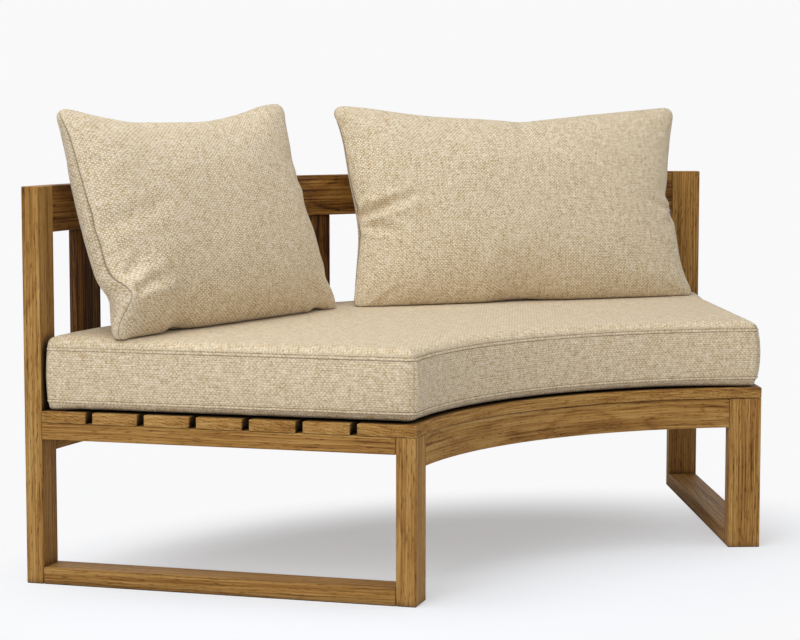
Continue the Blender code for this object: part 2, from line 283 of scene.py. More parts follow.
@dataclass(frozen=True)
class OiledTeak:
    """Planed and oiled teak: golden brown, with thin dark growth lines, short open pores and a dull sheen."""

    shades: tuple[tuple[float, str], ...] = (
        (0.02, "#C39C60"), (0.30, "#AE8445"), (0.55, "#93672F"), (0.80, "#6E4616"), (1.0, "#381C06"),
    )
    pore: str = "#3A220B"
    # Painted shade: the colour that the gaps, the joints and the wood under the cushion darken to, and how far it looks
    # for wood or cloth.
    painted_shade: str = "#120A03"
    painted_shade_mm: float = 22.0
    ring_spacing_mm: float = 5.5
    # Each pattern's length along the grain and width across it.
    log_wave_mm: tuple[float, float] = (400.0, 95.0)
    fibre_mm: tuple[float, float] = (260.0, 3.6)
    broad_mm: tuple[float, float] = (900.0, 26.0)
    streak_mm: tuple[float, float] = (120.0, 2.3)
    pore_mm: tuple[float, float] = (22.0, 2.0)
    log_wave_reach: float = 0.026
    level: float = -0.787
    # How much each pattern darkens the wood: fibre, broad bands, growth rings, streaks and pores.
    weights: tuple[float, ...] = (1.35, 0.75, 0.22, 0.26, 0.26)
    pore_shade: float = 0.35
    # The painted shade is darkest where this share of the surroundings is open, and gone from this share on.
    painted_shade_open: tuple[float, float] = (0.22, 0.80)
    bump_mm: float = 0.5
    roughness: float = 0.55
    gloss: float = 0.22

    def material(self, name: str, sawn: SawnFrom) -> bpy.types.Material:
        """Make the teak of one piece.

        Args:
            name: The material's name.
            sawn: The way the piece's grain runs and its place in the log.

        Returns:
            The material.
        """
        material, tree, shader = new_material(name)
        add = partial(add_node, tree)
        grain = self.grain_place(tree, sawn)
        # The log isn't straight: slow waves bend its growth rings, which opens flames where they meet a face.
        wander = self.streaks(tree, grain, self.log_wave_mm, 1.0, 2.0)
        centred = add(VECTOR_MATH, {0: wander.outputs["Color"], 1: (0.5, 0.5, 0.5)}, operation="SUBTRACT")
        reach = (0.0, self.log_wave_reach, self.log_wave_reach)
        bent = add(VECTOR_MATH, {0: centred, 1: reach, 2: grain}, operation="MULTIPLY_ADD")
        across = add(VECTOR_MATH, {0: bent, 1: (0.0, 1.0, 1.0)}, operation="MULTIPLY")
        distance = add(VECTOR_MATH, {0: across}, operation="LENGTH").outputs["Value"]
        rings = add(MATH, {0: distance, 1: 1 / (self.ring_spacing_mm * MILLIMETRE)}, operation="MULTIPLY")
        ring = add(MATH, {0: rings}, operation="FRACT")
        # Each ring darkens slowly and ends in a thin dark line.
        ring_line = self.ramp(tree, ring, ((0.0, 0.25), (0.08, 0.0), (0.60, 0.25), (0.88, 1.0), (1.0, 0.25)))
        fibre = self.streaks(tree, grain, self.fibre_mm, sawn.flatness, 4.0)
        broad = self.streaks(tree, grain, self.broad_mm, sawn.flatness, 2.0)
        # Streaks and pores are drawn about twice as coarse as real so that they show.
        streak = self.streaks(tree, grain, self.streak_mm, sawn.flatness, 2.0)
        streak_line = self.ramp(tree, streak, ((0.56, 0.0), (0.66, 1.0)))
        pore_noise = self.streaks(tree, grain, self.pore_mm, 1.0, 1.0)
        pores = self.ramp(tree, pore_noise, ((0.58, 0.0), (0.70, 1.0)))
        depth = sawn.tone + self.level
        for source, weight in zip((fibre, broad, ring_line, streak_line, pores), self.weights):
            depth = add(MATH, {0: source, 1: weight, 2: depth}, operation="MULTIPLY_ADD")
        colour = add("ShaderNodeValToRGB", {0: depth})
        set_stops(colour.color_ramp, [(place, linear_colour(shade)) for place, shade in self.shades])
        faint = add(MATH, {0: pores, 1: self.pore_shade}, operation="MULTIPLY")
        pored = add(MIX, {0: faint, 6: colour, 7: linear_colour(self.pore)}, data_type="RGBA").outputs[2]
        # Painted shade: ambient occlusion darkens the wood in the gaps, at the joints and under the cushion, where
        # little light gets in.
        painted_shade = add("ShaderNodeAmbientOcclusion", {"Distance": self.painted_shade_mm * MILLIMETRE}, samples=6).outputs["AO"]
        dark, bright = self.painted_shade_open
        clear = add("ShaderNodeMapRange", {"Value": painted_shade, "From Min": dark, "From Max": bright})
        with_painted_shade = add(MIX, {0: clear, 6: linear_colour(self.painted_shade), 7: pored}, data_type="RGBA").outputs[2]
        rough = add(MATH, {0: fibre, 1: 0.25, 2: self.roughness - 0.12}, operation="MULTIPLY_ADD")
        relief = add(MATH, {0: pores, 1: -0.7, 2: fibre}, operation="MULTIPLY_ADD")
        bump = add("ShaderNodeBump", {"Strength": 0.4, "Distance": self.bump_mm * MILLIMETRE, "Height": relief})
        feed(tree, shader, {"Base Color": with_painted_shade, "Roughness": rough, "Normal": bump, "Specular IOR Level": self.gloss})
        return material

    @staticmethod
    def streaks(
        tree: bpy.types.NodeTree, place: bpy.types.NodeSocket, size_mm: tuple[float, float], flatness: float,
        detail: float,
    ) -> bpy.types.Node:
        """Add noise that is long along the grain and thin across it.

        Args:
            tree: The material's tree.
            place: The place in the log.
            size_mm: How long and how wide a streak is.
            flatness: How many times wider than thick it is.
            detail: How much finer noise lies in it.

        Returns:
            The noise node.
        """
        thin = 1 / (size_mm[1] * MILLIMETRE)
        scale = (1 / (size_mm[0] * MILLIMETRE), thin / flatness, thin)
        stretched = add_node(tree, "ShaderNodeMapping", {"Vector": place, "Scale": scale})
        return add_node(tree, NOISE, {"Vector": stretched, "Scale": 1.0, "Detail": detail, "Roughness": 0.6})

    @staticmethod
    def ramp(tree: bpy.types.NodeTree, source: bpy.types.Node, stops: tuple) -> bpy.types.Node:
        """Add a grey ramp.

        Args:
            tree: The material's tree.
            source: What the ramp reads.
            stops: Place and level of each stop, in order.

        Returns:
            The ramp's node.
        """
        node = add_node(tree, "ShaderNodeValToRGB", {0: source})
        set_stops(node.color_ramp, [(place, (level, level, level, 1.0)) for place, level in stops])
        return node

    def grain_place(self, tree: bpy.types.NodeTree, sawn: SawnFrom) -> bpy.types.NodeSocket:
        """Give the place in the log: along the grain first, then the two ways across it from the pith.

        Args:
            tree: The material's tree.
            sawn: The way the piece's grain runs and its place in the log.

        Returns:
            The socket that carries the place in metres.
        """
        add = partial(add_node, tree)
        place = add("ShaderNodeTexCoord").outputs["Object"]
        if sawn.run is not GrainRun.ROUND:
            upright = sawn.run is GrainRun.UPRIGHT
            turn = Euler((0.0, math.radians(90) if upright else 0.0, 0.0 if upright else -sawn.heading))
            shift = Vector(sawn.pith)
            shift.rotate(turn)
            return add("ShaderNodeMapping", {"Vector": place, "Rotation": turn, "Location": -shift}).outputs[0]
        apart = add("ShaderNodeSeparateXYZ", {0: place})
        deep = add(MATH, {0: apart.outputs[1], 1: PLAN.centre_depth}, operation="ADD")
        angle = add(MATH, {0: apart, 1: deep}, operation="ARCTAN2")
        flat = add("ShaderNodeCombineXYZ", {0: apart, 1: deep})
        radius = add(VECTOR_MATH, {0: flat}, operation="LENGTH").outputs["Value"]
        along = add(MATH, {0: angle, 1: sawn.pith[1]}, operation="MULTIPLY")
        bent = add("ShaderNodeCombineXYZ", {0: along, 1: radius, 2: apart.outputs[2]})
        return add(VECTOR_MATH, {0: bent, 1: sawn.pith}, operation="SUBTRACT").outputs[0]


@dataclass(frozen=True)
class WovenCloth:
    """Outdoor linen-look cloth, plain woven from uneven beige yarns: matt and pebbly, with pale slubs in the weft."""

    shades: tuple[tuple[float, str], ...] = (
        (0.06, "#8B7247"), (0.30, "#BCA67C"), (0.55, "#D7C4A5"), (0.80, "#EADDC6"), (1.0, "#F5EDDB"),
    )
    # The seams' colour, also used as painted shade in their grooves and on the cushion's underside.
    sewn: str = "#6E5A38"
    column_mm: float = 3.7
    row_mm: float = 4.2
    # The size along the weft and along the warp of the yarns' thick and thin places.
    slub_mm: tuple[float, float] = (26.0, 2.7)
    warp_mm: tuple[float, float] = (4.0, 36.0)
    wander_scale: float = 150.0
    wander_mm: float = 3.4
    speck_scale: float = 520.0
    slub_strength: float = 0.68
    warp_strength: float = 0.34
    speck_strength: float = 0.35
    row_strength: float = 0.25
    column_strength: float = 0.0
    pebble_strength: float = 0.13
    knot_strength: float = 0.29
    dip_strength: float = 0.10
    seam_and_shade_strength: float = 0.50
    level: float = 0.56
    bump_mm: float = 1.6
    roughness: float = 0.92
    gloss: float = 0.15
    sheen: float = 0.21

    def material(self, name: str) -> bpy.types.Material:
        """Make the cloth, whose yarns follow the piece's own UV map in metres.

        Args:
            name: The material's name.

        Returns:
            The material.
        """
        material, tree, shader = new_material(name)
        add = partial(add_node, tree)
        cloth = add("ShaderNodeUVMap", uv_map="weave")
        # Yarns are spun unevenly, so they wander a little.
        wander = add(NOISE, {"Vector": cloth, "Scale": self.wander_scale, "Detail": 2.0})
        centred = add(VECTOR_MATH, {0: wander.outputs["Color"], 1: (0.5, 0.5, 0.5)}, operation="SUBTRACT")
        shift = (self.wander_mm * MILLIMETRE, self.wander_mm * MILLIMETRE, 0.0)
        uneven = add(VECTOR_MATH, {0: centred, 1: shift, 2: cloth}, operation="MULTIPLY_ADD")
        # The real yarns are about half as thick: drawn at this pitch they still show in the picture.
        counts = (1 / (self.column_mm * MILLIMETRE), 1 / (self.row_mm * MILLIMETRE), 0.0)
        counted = add(VECTOR_MATH, {0: uneven, 1: counts}, operation="MULTIPLY")
        apart = add("ShaderNodeSeparateXYZ", {0: counted})
        waves = []
        for axis in (0, 1):
            turned = add(MATH, {0: apart.outputs[axis], 1: math.pi}, operation="MULTIPLY")
            waves.append(add(MATH, {0: turned}, operation="SINE"))
        crossing = add(MATH, {0: waves[0], 1: waves[1]}, operation="MULTIPLY")
        column, row = (add(MATH, {0: wave}, operation="ABSOLUTE") for wave in waves)
        # Each crossing of two yarns is one pebble, and no two are equally thick.
        pebble = add(
            "ShaderNodeTexVoronoi", {"Vector": counted, "Scale": 1.1, "Randomness": 1.0}, voronoi_dimensions="2D"
        )
        pebble_tone = add("ShaderNodeSeparateColor", {0: pebble.outputs["Color"]})
        weft = self.yarn_noise(tree, cloth, self.slub_mm)
        warp = self.yarn_noise(tree, cloth, self.warp_mm)
        speck = add(NOISE, {"Vector": cloth, "Scale": self.speck_scale, "Detail": 1.0, "Roughness": 0.6})
        # Each part with its weight and its own average, which is taken off so that the cloth keeps its level.
        parts = (
            (crossing, self.pebble_strength, 0.0), (pebble_tone, self.knot_strength, 0.5),
            (pebble.outputs["Distance"], -self.dip_strength, 0.4), (weft, self.slub_strength, 0.5),
            (warp, self.warp_strength, 0.5), (speck, self.speck_strength, 0.5),
            (row, self.row_strength, 0.64), (column, self.column_strength, 0.64),
        )
        height = self.level - sum(weight * mean for _, weight, mean in parts)
        for source, weight, _ in parts:
            height = add(MATH, {0: source, 1: weight, 2: height}, operation="MULTIPLY_ADD")
        shades = add("ShaderNodeValToRGB", {0: height})
        set_stops(shades.color_ramp, [(place, linear_colour(shade)) for place, shade in self.shades])
        # The seam attribute mixes in the seam colour: along the seams partly for the needle holes and the thread,
        # partly as painted shade in the grooves and creases; on the cushion's underside as painted shade alone.
        seam = add("ShaderNodeAttribute", attribute_name="seam").outputs["Fac"]
        shaded = add(MATH, {0: seam, 1: self.seam_and_shade_strength}, operation="MULTIPLY", use_clamp=True)
        sewn = add(MIX, {0: shaded, 6: shades, 7: linear_colour(self.sewn)}, data_type="RGBA").outputs[2]
        bump = add("ShaderNodeBump", {"Strength": 0.6, "Distance": self.bump_mm * MILLIMETRE, "Height": height})
        feed(tree, shader, {
            "Base Color": sewn, "Normal": bump, "Roughness": self.roughness, "Specular IOR Level": self.gloss,
            "Sheen Weight": self.sheen, "Sheen Roughness": 0.4,
        })
        return material

    @staticmethod
    def yarn_noise(tree: bpy.types.NodeTree, cloth: bpy.types.Node, size_mm: tuple[float, float]) -> bpy.types.Node:
        """Add the thick and thin places of one set of yarns.

        Args:
            tree: The material's tree.
            cloth: The place in the cloth.
            size_mm: Their size along the weft and along the warp.

        Returns:
            The noise node.
        """
        scale = (1 / (size_mm[0] * MILLIMETRE), 1 / (size_mm[1] * MILLIMETRE), 1.0)
        place = add_node(tree, "ShaderNodeMapping", {"Vector": cloth, "Scale": scale})
        return add_node(tree, NOISE, {"Vector": place, "Scale": 1.0, "Detail": 2.0, "Roughness": 0.6})


@dataclass(frozen=True)
class PlainFinish:
    """A finish of one colour with a faint cloud of unevenness in its gloss, as turned steel and sewing thread have."""

    colour: str
    metallic: float
    roughness: float
    cloud_mm: float

    def material(self, name: str) -> bpy.types.Material:
        """Make the finish.

        Args:
            name: The material's name.

        Returns:
            The material.
        """
        material, tree, shader = new_material(name)
        place = add_node(tree, "ShaderNodeTexCoord").outputs["Object"]
        cloud = add_node(tree, NOISE, {"Vector": place, "Scale": 1 / (self.cloud_mm * MILLIMETRE)})
        rough = add_node(tree, MATH, {0: cloud, 1: 0.2, 2: self.roughness - 0.1}, operation="MULTIPLY_ADD")
        feed(tree, shader, {"Base Color": linear_colour(self.colour), "Metallic": self.metallic, "Roughness": rough})
        return material


TEAK = OiledTeak()
STAINLESS = PlainFinish("#B9B6AE", 1.0, 0.34, 2.0)
THREAD = PlainFinish("#877349", 0.0, 0.75, 1.0)
SEAT_CLOTH = WovenCloth()
PILLOW_CLOTH = WovenCloth(
    level=0.597, column_mm=4.4, row_mm=3.8, slub_mm=(24.0, 2.8), slub_strength=0.62, warp_strength=0.60,
    row_strength=0.32, column_strength=0.22, pebble_strength=0.24, knot_strength=0.31, seam_and_shade_strength=0.85,
)


@dataclass
class CurvedBoard:
    """A board that follows the circle, its ends cut parallel to the end planes."""

    name: str
    inner_radius: float
    outer_radius: float
    bottom: float
    top: float
    end_distance: float
    sawn: SawnFrom
    arris: float = PLAN.arris
    step: float = 0.008
    eased_angle: float = math.radians(40)
    sharp_angle: float = math.radians(35)

    def build(self, tree: bpy.types.NodeTree) -> bpy.types.Object:
        """Make the board with the bent-board tree, round its arrises and dress it.

        Args:
            tree: The geometry tree that bends a board.

        Returns:
            The finished piece.
        """
        item = new_object(f"teak_{self.name}", bpy.data.meshes.new(self.name))
        length = 2 * self.outer_radius * PLAN.half_angle
        run_tree(item, tree, {
            "Inner radius": self.inner_radius, "Outer radius": self.outer_radius,
            "Bottom": self.bottom, "Height": self.top - self.bottom,
            "End distance": self.end_distance, "Half angle": PLAN.half_angle, "Centre depth": PLAN.centre_depth,
            "Sections": round(length / self.step), "Teak": TEAK.material(f"oiled_teak_{self.name}", self.sawn),
        })
        rounding = item.modifiers.new("eased arrises", "BEVEL")
        rounding.width = self.arris
        rounding.segments = 2
        rounding.limit_method = "ANGLE"
        rounding.angle_limit = self.eased_angle
        bake_modifiers(item)
        item.data.shade_smooth()
        item.data.set_sharp_from_angle(angle=self.sharp_angle)
        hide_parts(self.name)
        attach(item, "frame")
        log.info("board %s: %d faces", self.name, len(item.data.polygons))
        return item

    @staticmethod
    def tree() -> bpy.types.NodeTree:
        """Build the tree that bends a straight board round the circle.

        Returns:
            The geometry tree, with one input for each size.
        """
        sizes = ("Inner radius", "Outer radius", "Bottom", "Height", "End distance", "Half angle", "Centre depth")
        inputs = {**dict.fromkeys(sizes, "Float"), "Sections": "Int", "Teak": "Material"}
        tree, given = new_geometry_tree("bent_board", inputs, "Board")
        add = partial(add_node, tree)
        block = add(
            "GeometryNodeMeshCube",
            {"Size": (2.0, 1.0, 1.0), "Vertices X": given["Sections"], "Vertices Y": 2, "Vertices Z": 2},
        )
        # From here on X is a share of the half angle, and Y and Z are shares of the board's width and height.
        place = add("ShaderNodeSeparateXYZ", {0: add("GeometryNodeInputPosition")})
        radius = add("ShaderNodeMapRange", {
            "Value": place.outputs[1], "From Min": -0.5, "From Max": 0.5,
            "To Min": given["Inner radius"], "To Max": given["Outer radius"],
        })
        cut = add(MATH, {0: given["End distance"], 1: radius}, operation="DIVIDE")
        lost = add(MATH, {0: cut}, operation="ARCSINE")
        reach = add(MATH, {0: given["Half angle"], 1: lost}, operation="SUBTRACT")
        angle = add(MATH, {0: place, 1: reach}, operation="MULTIPLY")
        sine, cosine = (add(MATH, {0: angle}, operation=wave) for wave in ("SINE", "COSINE"))
        right, back = (add(MATH, {0: wave, 1: radius}, operation="MULTIPLY") for wave in (sine, cosine))
        deep = add(MATH, {0: back, 1: given["Centre depth"]}, operation="SUBTRACT")
        share = add(MATH, {0: place.outputs[2], 1: 0.5}, operation="ADD")
        level = add(MATH, {0: share, 1: given["Height"], 2: given["Bottom"]}, operation="MULTIPLY_ADD")
        bent = add("ShaderNodeCombineXYZ", {0: right, 1: deep, 2: level})
        moved = add("GeometryNodeSetPosition", {"Geometry": block, "Position": bent})
        end_geometry_tree(tree, moved, given["Teak"])
        return tree


@dataclass
class BenchFrame:
    """The teak frame: bent boards made here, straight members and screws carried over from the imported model."""

    slat_count: int = 7
    slat_thickness: float = 0.021
    slat_gap: float = 0.014
    front_slat_width: float = 0.110
    apron_height: float = 0.060
    front_apron_thickness: float = 0.025
    top_rail_height: float = 0.087
    bearer_angle: float = math.radians(12.0)
    pith_depth: float = 0.30
    slat_arris: float = 0.0008

    def boards(self) -> list[CurvedBoard]:
        """List the ten bent boards.

        Returns:
            The boards, with their sizes and their sawing.
        """
        plan = PLAN
        underside = plan.seat_height - self.slat_thickness
        apron_bottom = underside - self.apron_height
        others = self.slat_count - 1
        gaps = others * self.slat_gap
        narrow = (plan.seat_depth - plan.post_depth - plan.clearance - self.front_slat_width - gaps) / others
        boards = []
        inner = plan.front_radius
        for number in range(1, self.slat_count + 1):
            width = self.front_slat_width if number == 1 else narrow
            # Slats are sawn from flat planks: the grain stays straight while the slat curves, and runs out at the
            # edges in flames.
            middle = (inner + width / 2) * (1 + math.cos(plan.half_angle)) / 2 - plan.centre_depth
            pith = (number * 1.7, middle, plan.seat_height - self.pith_depth - 0.006 * number)
            sawn = SawnFrom(GrainRun.LEVEL, 0.0, pith, tone=0.03 * math.sin(2.1 * number), flatness=7.0)
            name, outer = f"seat_slat_{number}", inner + width
            boards.append(CurvedBoard(name, inner, outer, underside, plan.seat_height, 0.0, sawn, self.slat_arris))
            inner = outer + self.slat_gap
        apron_radius = math.hypot(plan.front_radius, plan.member_width)
        shoulder = plan.member_width + plan.clearance
        apron_face = apron_radius + self.front_apron_thickness
        apron_top = underside - plan.clearance
        inner, outer = plan.back_face_radius, plan.back_outer_radius
        rail_bottom, rail_top = plan.back_height - self.top_rail_height, plan.back_height
        for name, inner, outer, bottom, top, pith, tone in (
            ("front_apron", apron_radius, apron_face, apron_bottom, apron_top, (0.4, 0.16, apron_bottom + 0.02), 0.06),
            ("rear_apron", inner, outer, apron_bottom, underside, (1.9, 0.20, apron_bottom + 0.01), 0.06),
            # The top rail's darker tone is painted shade behind the pillows.
            ("top_rail", inner, outer, rail_bottom, rail_top, (3.1, 0.24, rail_top - 0.03), 0.27),
        ):
            pith = (pith[0], inner + pith[1], pith[2])
            sawn = SawnFrom(GrainRun.ROUND, 0.0, pith, tone=tone)
            boards.append(CurvedBoard(name, inner, outer, bottom, top, shoulder, sawn))
        return boards

    def straight_cuts(self) -> dict[str, SawnFrom]:
        """List how the straight members are sawn.

        Returns:
            The sawing of each member by its node name.
        """
        cuts = {}
        for side_name, side in (("left", -1), ("right", 1)):
            heading = math.pi / 2 - side * PLAN.half_angle
            normal = Vector((side * math.cos(PLAN.half_angle), -math.sin(PLAN.half_angle), 0.0))
            foot = PLAN.point(PLAN.post_face_radius, side * PLAN.half_angle, 0.0)
            toe = PLAN.point(PLAN.front_radius, side * PLAN.half_angle, 0.0)
            upright = GrainRun.UPRIGHT
            cuts[f"{side_name}_rear_post"] = SawnFrom(upright, 0.0, tuple(foot + 0.21 * normal), tone=0.02)
            cuts[f"{side_name}_front_leg"] = SawnFrom(upright, 0.0, tuple(toe - 0.19 * normal), tone=0.02)
            for name, height, tone in (("runner", -0.07, 0.03), ("end_rail", 0.15, 0.03)):
                place = toe + Vector((side * 0.02, 0.0, height))
                cuts[f"{side_name}_{name}"] = SawnFrom(GrainRun.LEVEL, heading, tuple(place), tone=tone)
            bearer = math.pi / 2 - side * self.bearer_angle
            place = PLAN.point(1.0, side * self.bearer_angle, 0.2)
            cuts[f"{side_name}_bearer"] = SawnFrom(GrainRun.LEVEL, bearer, tuple(place))
        for number, name in enumerate(("left_back_slat", "middle_back_slat", "right_back_slat")):
            pith = PLAN.point(PLAN.back_face_radius + 0.17, (number - 1) * 0.4, 0.0)
            # The back slats' dark tone is painted shade behind the pillows.
            cuts[name] = SawnFrom(GrainRun.UPRIGHT, 0.0, tuple(pith), tone=0.54)
        return cuts

    def build(self) -> None:
        """Make the bent boards and dress the carried-over nodes."""
        tree = CurvedBoard.tree()
        for board in self.boards():
            board.build(tree)
        for name, sawn in self.straight_cuts().items():
            self.dress(name, TEAK.material(f"oiled_teak_{name}", sawn))
        steel = STAINLESS.material("turned_stainless_steel")
        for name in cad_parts:
            if "_screw_" in name:
                self.dress(name, steel)

    @staticmethod
    def dress(name: str, material: bpy.types.Material) -> None:
        """Give a carried-over node its material.

        Args:
            name: The node's name.
            material: The material.
        """
        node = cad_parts[name]
        node.data.materials.clear()
        node.data.materials.append(material)
        log.info("dressed %s with %s", name, material.name)


def clustered(count: int, pull: float) -> np.ndarray:
    """Give places from -1 to 1 that crowd towards both ends.

    Args:
        count: How many steps.
        pull: From 0, even, to just under 1, crowded.

    Returns:
        The places, one more than the steps.
    """
    share = np.linspace(0.0, 1.0, count + 1)
    return 2 * (share - pull * np.sin(2 * math.pi * share) / (2 * math.pi)) - 1


def mesh_from_grid(name: str, points: np.ndarray, faces: np.ndarray, weave: np.ndarray) -> bpy.types.Mesh:
    """Make a mesh of quads with the weave's UV map.

    Args:
        name: The mesh's name.
        points: One row of coordinates for each vertex.
        faces: One row of four vertex numbers for each quad.
        weave: For each quad's corner, the place in the cloth in metres.

    Returns:
        The mesh.
    """
    mesh = bpy.data.meshes.new(name)
    mesh.from_pydata(points.tolist(), [], faces.tolist())
    layer = mesh.uv_layers.new(name="weave")
    layer.data.foreach_set("uv", weave.astype(np.float32).ravel())
    mesh.validate()
    return mesh


@dataclass
class SeatCushion:
    """Boxed foam cushion: a crowned top panel, a strip round the side and a flat bottom, joined by ribbed seams."""

    left_inset_front: float = 0.014
    right_inset_front: float = 0.0048
    end_inset_back: float = 0.007
    front_inset: float = 0.006
    back_inset: float = 0.006
    low_seam: float = 0.0185
    high_seam: float = 0.116
    side_bulge: float = 0.0035
    corner_radius: float = 0.015
    # Distance inside the seam line at which the panels begin, past the rib's outer groove.
    roll_start: float = 0.0010
    roll_width: float = 0.030
    roll_height: float = 0.0190
    low_roll_width: float = 0.013
    edge_lift: float = 0.0095
    edge_lift_width: float = 0.11
    lying_back: float = 0.2
    lying_end: float = 0.5
    crown: float = 0.0020
    back_rise: float = 0.0060
    rib_half_width: float = 0.0030
    rib_height: float = 0.0012
    groove_depth: float = 0.0013
    stitch_pitch: float = 0.0052
    stitch_length: float = 0.0036
    stitch_thickness: float = 0.0009
    along_steps: int = 200
    across_steps: int = 84
    bulge_rows: int = 20
    # How closely the columns crowd to both ends, and the rows to the front and the back.
    along_pull: float = 0.86
    across_pull: float = 0.80
    # How square the edges stay: where two rolled edges meet, up the side, and along and across the crown.
    roll_power: int = 9
    bulge_power: float = 0.8
    crown_powers: tuple[int, int] = (12, 4)
    # Place across where the rise behind the pillows starts, and how far on it is full.
    back_start: float = 0.55
    back_run: float = 0.35
    # How dark the upright corner seams are: partly the seam's own colour, partly painted shade in its groove.
    corner_shade: float = 0.8
    corner_columns: int = 4
    # The bottom panel is cut from the cloth this far from the top one.
    bottom_cut: float = 3.0
    stitch_seed: int = 7
    # Painted shade on the underside: it begins this share of the lower edge's height inside it, and is this dark.
    underside_shade_edge: float = 0.22
    underside_painted_shade: float = 1.1

    @property
    def base(self) -> float:
        """Height of the cushion's underside."""
        return PLAN.seat_height + PLAN.clearance

    @property
    def inner(self) -> float:
        """Radius of the front seam."""
        return PLAN.front_radius + self.front_inset

    @property
    def outer(self) -> float:
        """Radius of the back seam."""
        return PLAN.post_face_radius - self.back_inset

    @property
    def half_width(self) -> float:
        """Half of the distance between the front and the back seam."""
        return (self.outer - self.inner) / 2

    @property
    def middle(self) -> float:
        """Radius halfway between the front and the back seam."""
        return (self.outer + self.inner) / 2

    def reach(self, radius: np.ndarray, along: np.ndarray) -> np.ndarray:
        """Length of the seam along the circle at a radius, from the middle to the end on the side of a place.

        Args:
            radius: The radius.
            along: The place, less than nothing on the left.

        Returns:
            The length.
        """
        share = (radius - self.inner) / (self.outer - self.inner)
        front = np.where(along < 0, self.left_inset_front, self.right_inset_front)
        inset = front + (self.end_inset_back - front) * share
        return radius * (PLAN.half_angle - np.arcsin(inset / radius))

    def plan_place(self, along: np.ndarray, across: np.ndarray, outset: np.ndarray | float) -> tuple:
        """Give the plan place of points of the cushion, its corners rounded.

        Args:
            along: From -1 at the left end to 1 at the right end.
            across: From -1 at the front to 1 at the back.
            outset: How far outside the seam line the edge of this level stands.

        Returns:
            The x and y of each point.
        """
        half_width, middle = self.half_width, self.middle
        deep = across * (half_width + outset)
        length = self.reach(middle + across * half_width, along) + outset
        far = along * length
        corner = self.corner_radius + outset
        over_far = np.maximum(np.abs(far) - (length - corner), 0.0)
        over_deep = np.maximum(np.abs(deep) - (half_width + outset - corner), 0.0)
        new_far = over_far * np.sqrt(1 - (over_deep / corner) ** 2 / 2)
        new_deep = over_deep * np.sqrt(1 - (over_far / corner) ** 2 / 2)
        far = far - np.sign(far) * (over_far - new_far)
        deep = deep - np.sign(deep) * (over_deep - new_deep)
        radius = middle + deep
        angle = far / radius
        return radius * np.sin(angle), radius * np.cos(angle) - PLAN.centre_depth

    def edge_share(self, along: np.ndarray, across: np.ndarray, width: float, start: float) -> np.ndarray:
        """Share of a rounded edge's height, from the seam inwards.

        Args:
            along: From -1 at the left end to 1 at the right end.
            across: From -1 at the front to 1 at the back.
            width: How far in the rounding reaches.
            start: Distance at which the panel begins, inside the seam line.

        Returns:
            From near 0 at the seam to 1 inside.
        """
        half_width = self.half_width
        length = self.reach(self.middle + across * half_width, along)
        short = np.zeros_like(along)
        for gap in ((1 + along) * length, (1 - along) * length, (1 + across) * half_width, (1 - across) * half_width):
            inside = np.minimum((gap + start) / width, 1.0)
            short = short + (1 - np.sqrt(np.maximum(1 - (1 - inside) ** 2, 0.0))) ** self.roll_power
        return 1 - np.minimum(short, 1.0) ** (1 / self.roll_power)

    def rolled_excess(self, share: np.ndarray | float) -> np.ndarray:
        """How much longer the cloth is than its plan, from inside a rounded edge out to a share of its height."""
        mean = (self.roll_width + self.roll_height) / 2
        return np.maximum(mean * np.arccos(np.clip(share, 0, 1)) - self.roll_width * np.sqrt(1 - np.square(share)), 0)

    def crown_share(self, along: np.ndarray, across: np.ndarray) -> np.ndarray:
        """Share of the crown's height at a place on the top."""
        return (1 - np.abs(along) ** self.crown_powers[0]) * (1 - np.abs(across) ** self.crown_powers[1])

    def back_share(self, across: np.ndarray) -> np.ndarray:
        """Share of the rise behind the pillows, whose weight keeps the top lower under them.

        Args:
            across: From -1 at the front to 1 at the back.

        Returns:
            From 0 under the pillows to 1 behind them.
        """
        near = np.clip((across - self.back_start) / self.back_run, 0.0, 1.0)
        return near**2 * (3 - 2 * near)

    def top_height(self, x: np.ndarray, y: np.ndarray) -> np.ndarray:
        """Height of the top panel over a place in plan.

        Args:
            x: Distance to the right of the origin.
            y: Distance behind the origin.

        Returns:
            The height above the floor.
        """
        radius = np.hypot(x, y + PLAN.centre_depth)
        angle = np.arctan2(x, y + PLAN.centre_depth)
        across = np.clip((radius - self.middle) / self.half_width, -1, 1)
        along = np.clip(angle * radius / self.reach(radius, angle), -1, 1)
        return self.panel_height(along, across)

    def panel_height(self, along: np.ndarray, across: np.ndarray) -> np.ndarray:
        """Height above the floor of the top panel.

        Args:
            along: From -1 at the left end to 1 at the right end.
            across: From -1 at the front to 1 at the back.

        Returns:
            The height.
        """
        rise = self.roll_height * self.edge_share(along, across, self.roll_width, self.roll_start)
        soft = self.crown * self.crown_share(along, across) + self.back_rise * self.back_share(across)
        return self.base + self.high_seam + rise + soft * np.minimum(rise / self.roll_height * 1.5, 1.0)

    def side_rows(self) -> list[tuple[float, float, float, float]]:
        """List the rows of the side from the bottom panel's edge to the top panel's edge.

        Returns:
            Rows of height over the base, outset, seam shade and whether the row is a groove.
        """
        rib, groove = self.rib_half_width, self.groove_depth
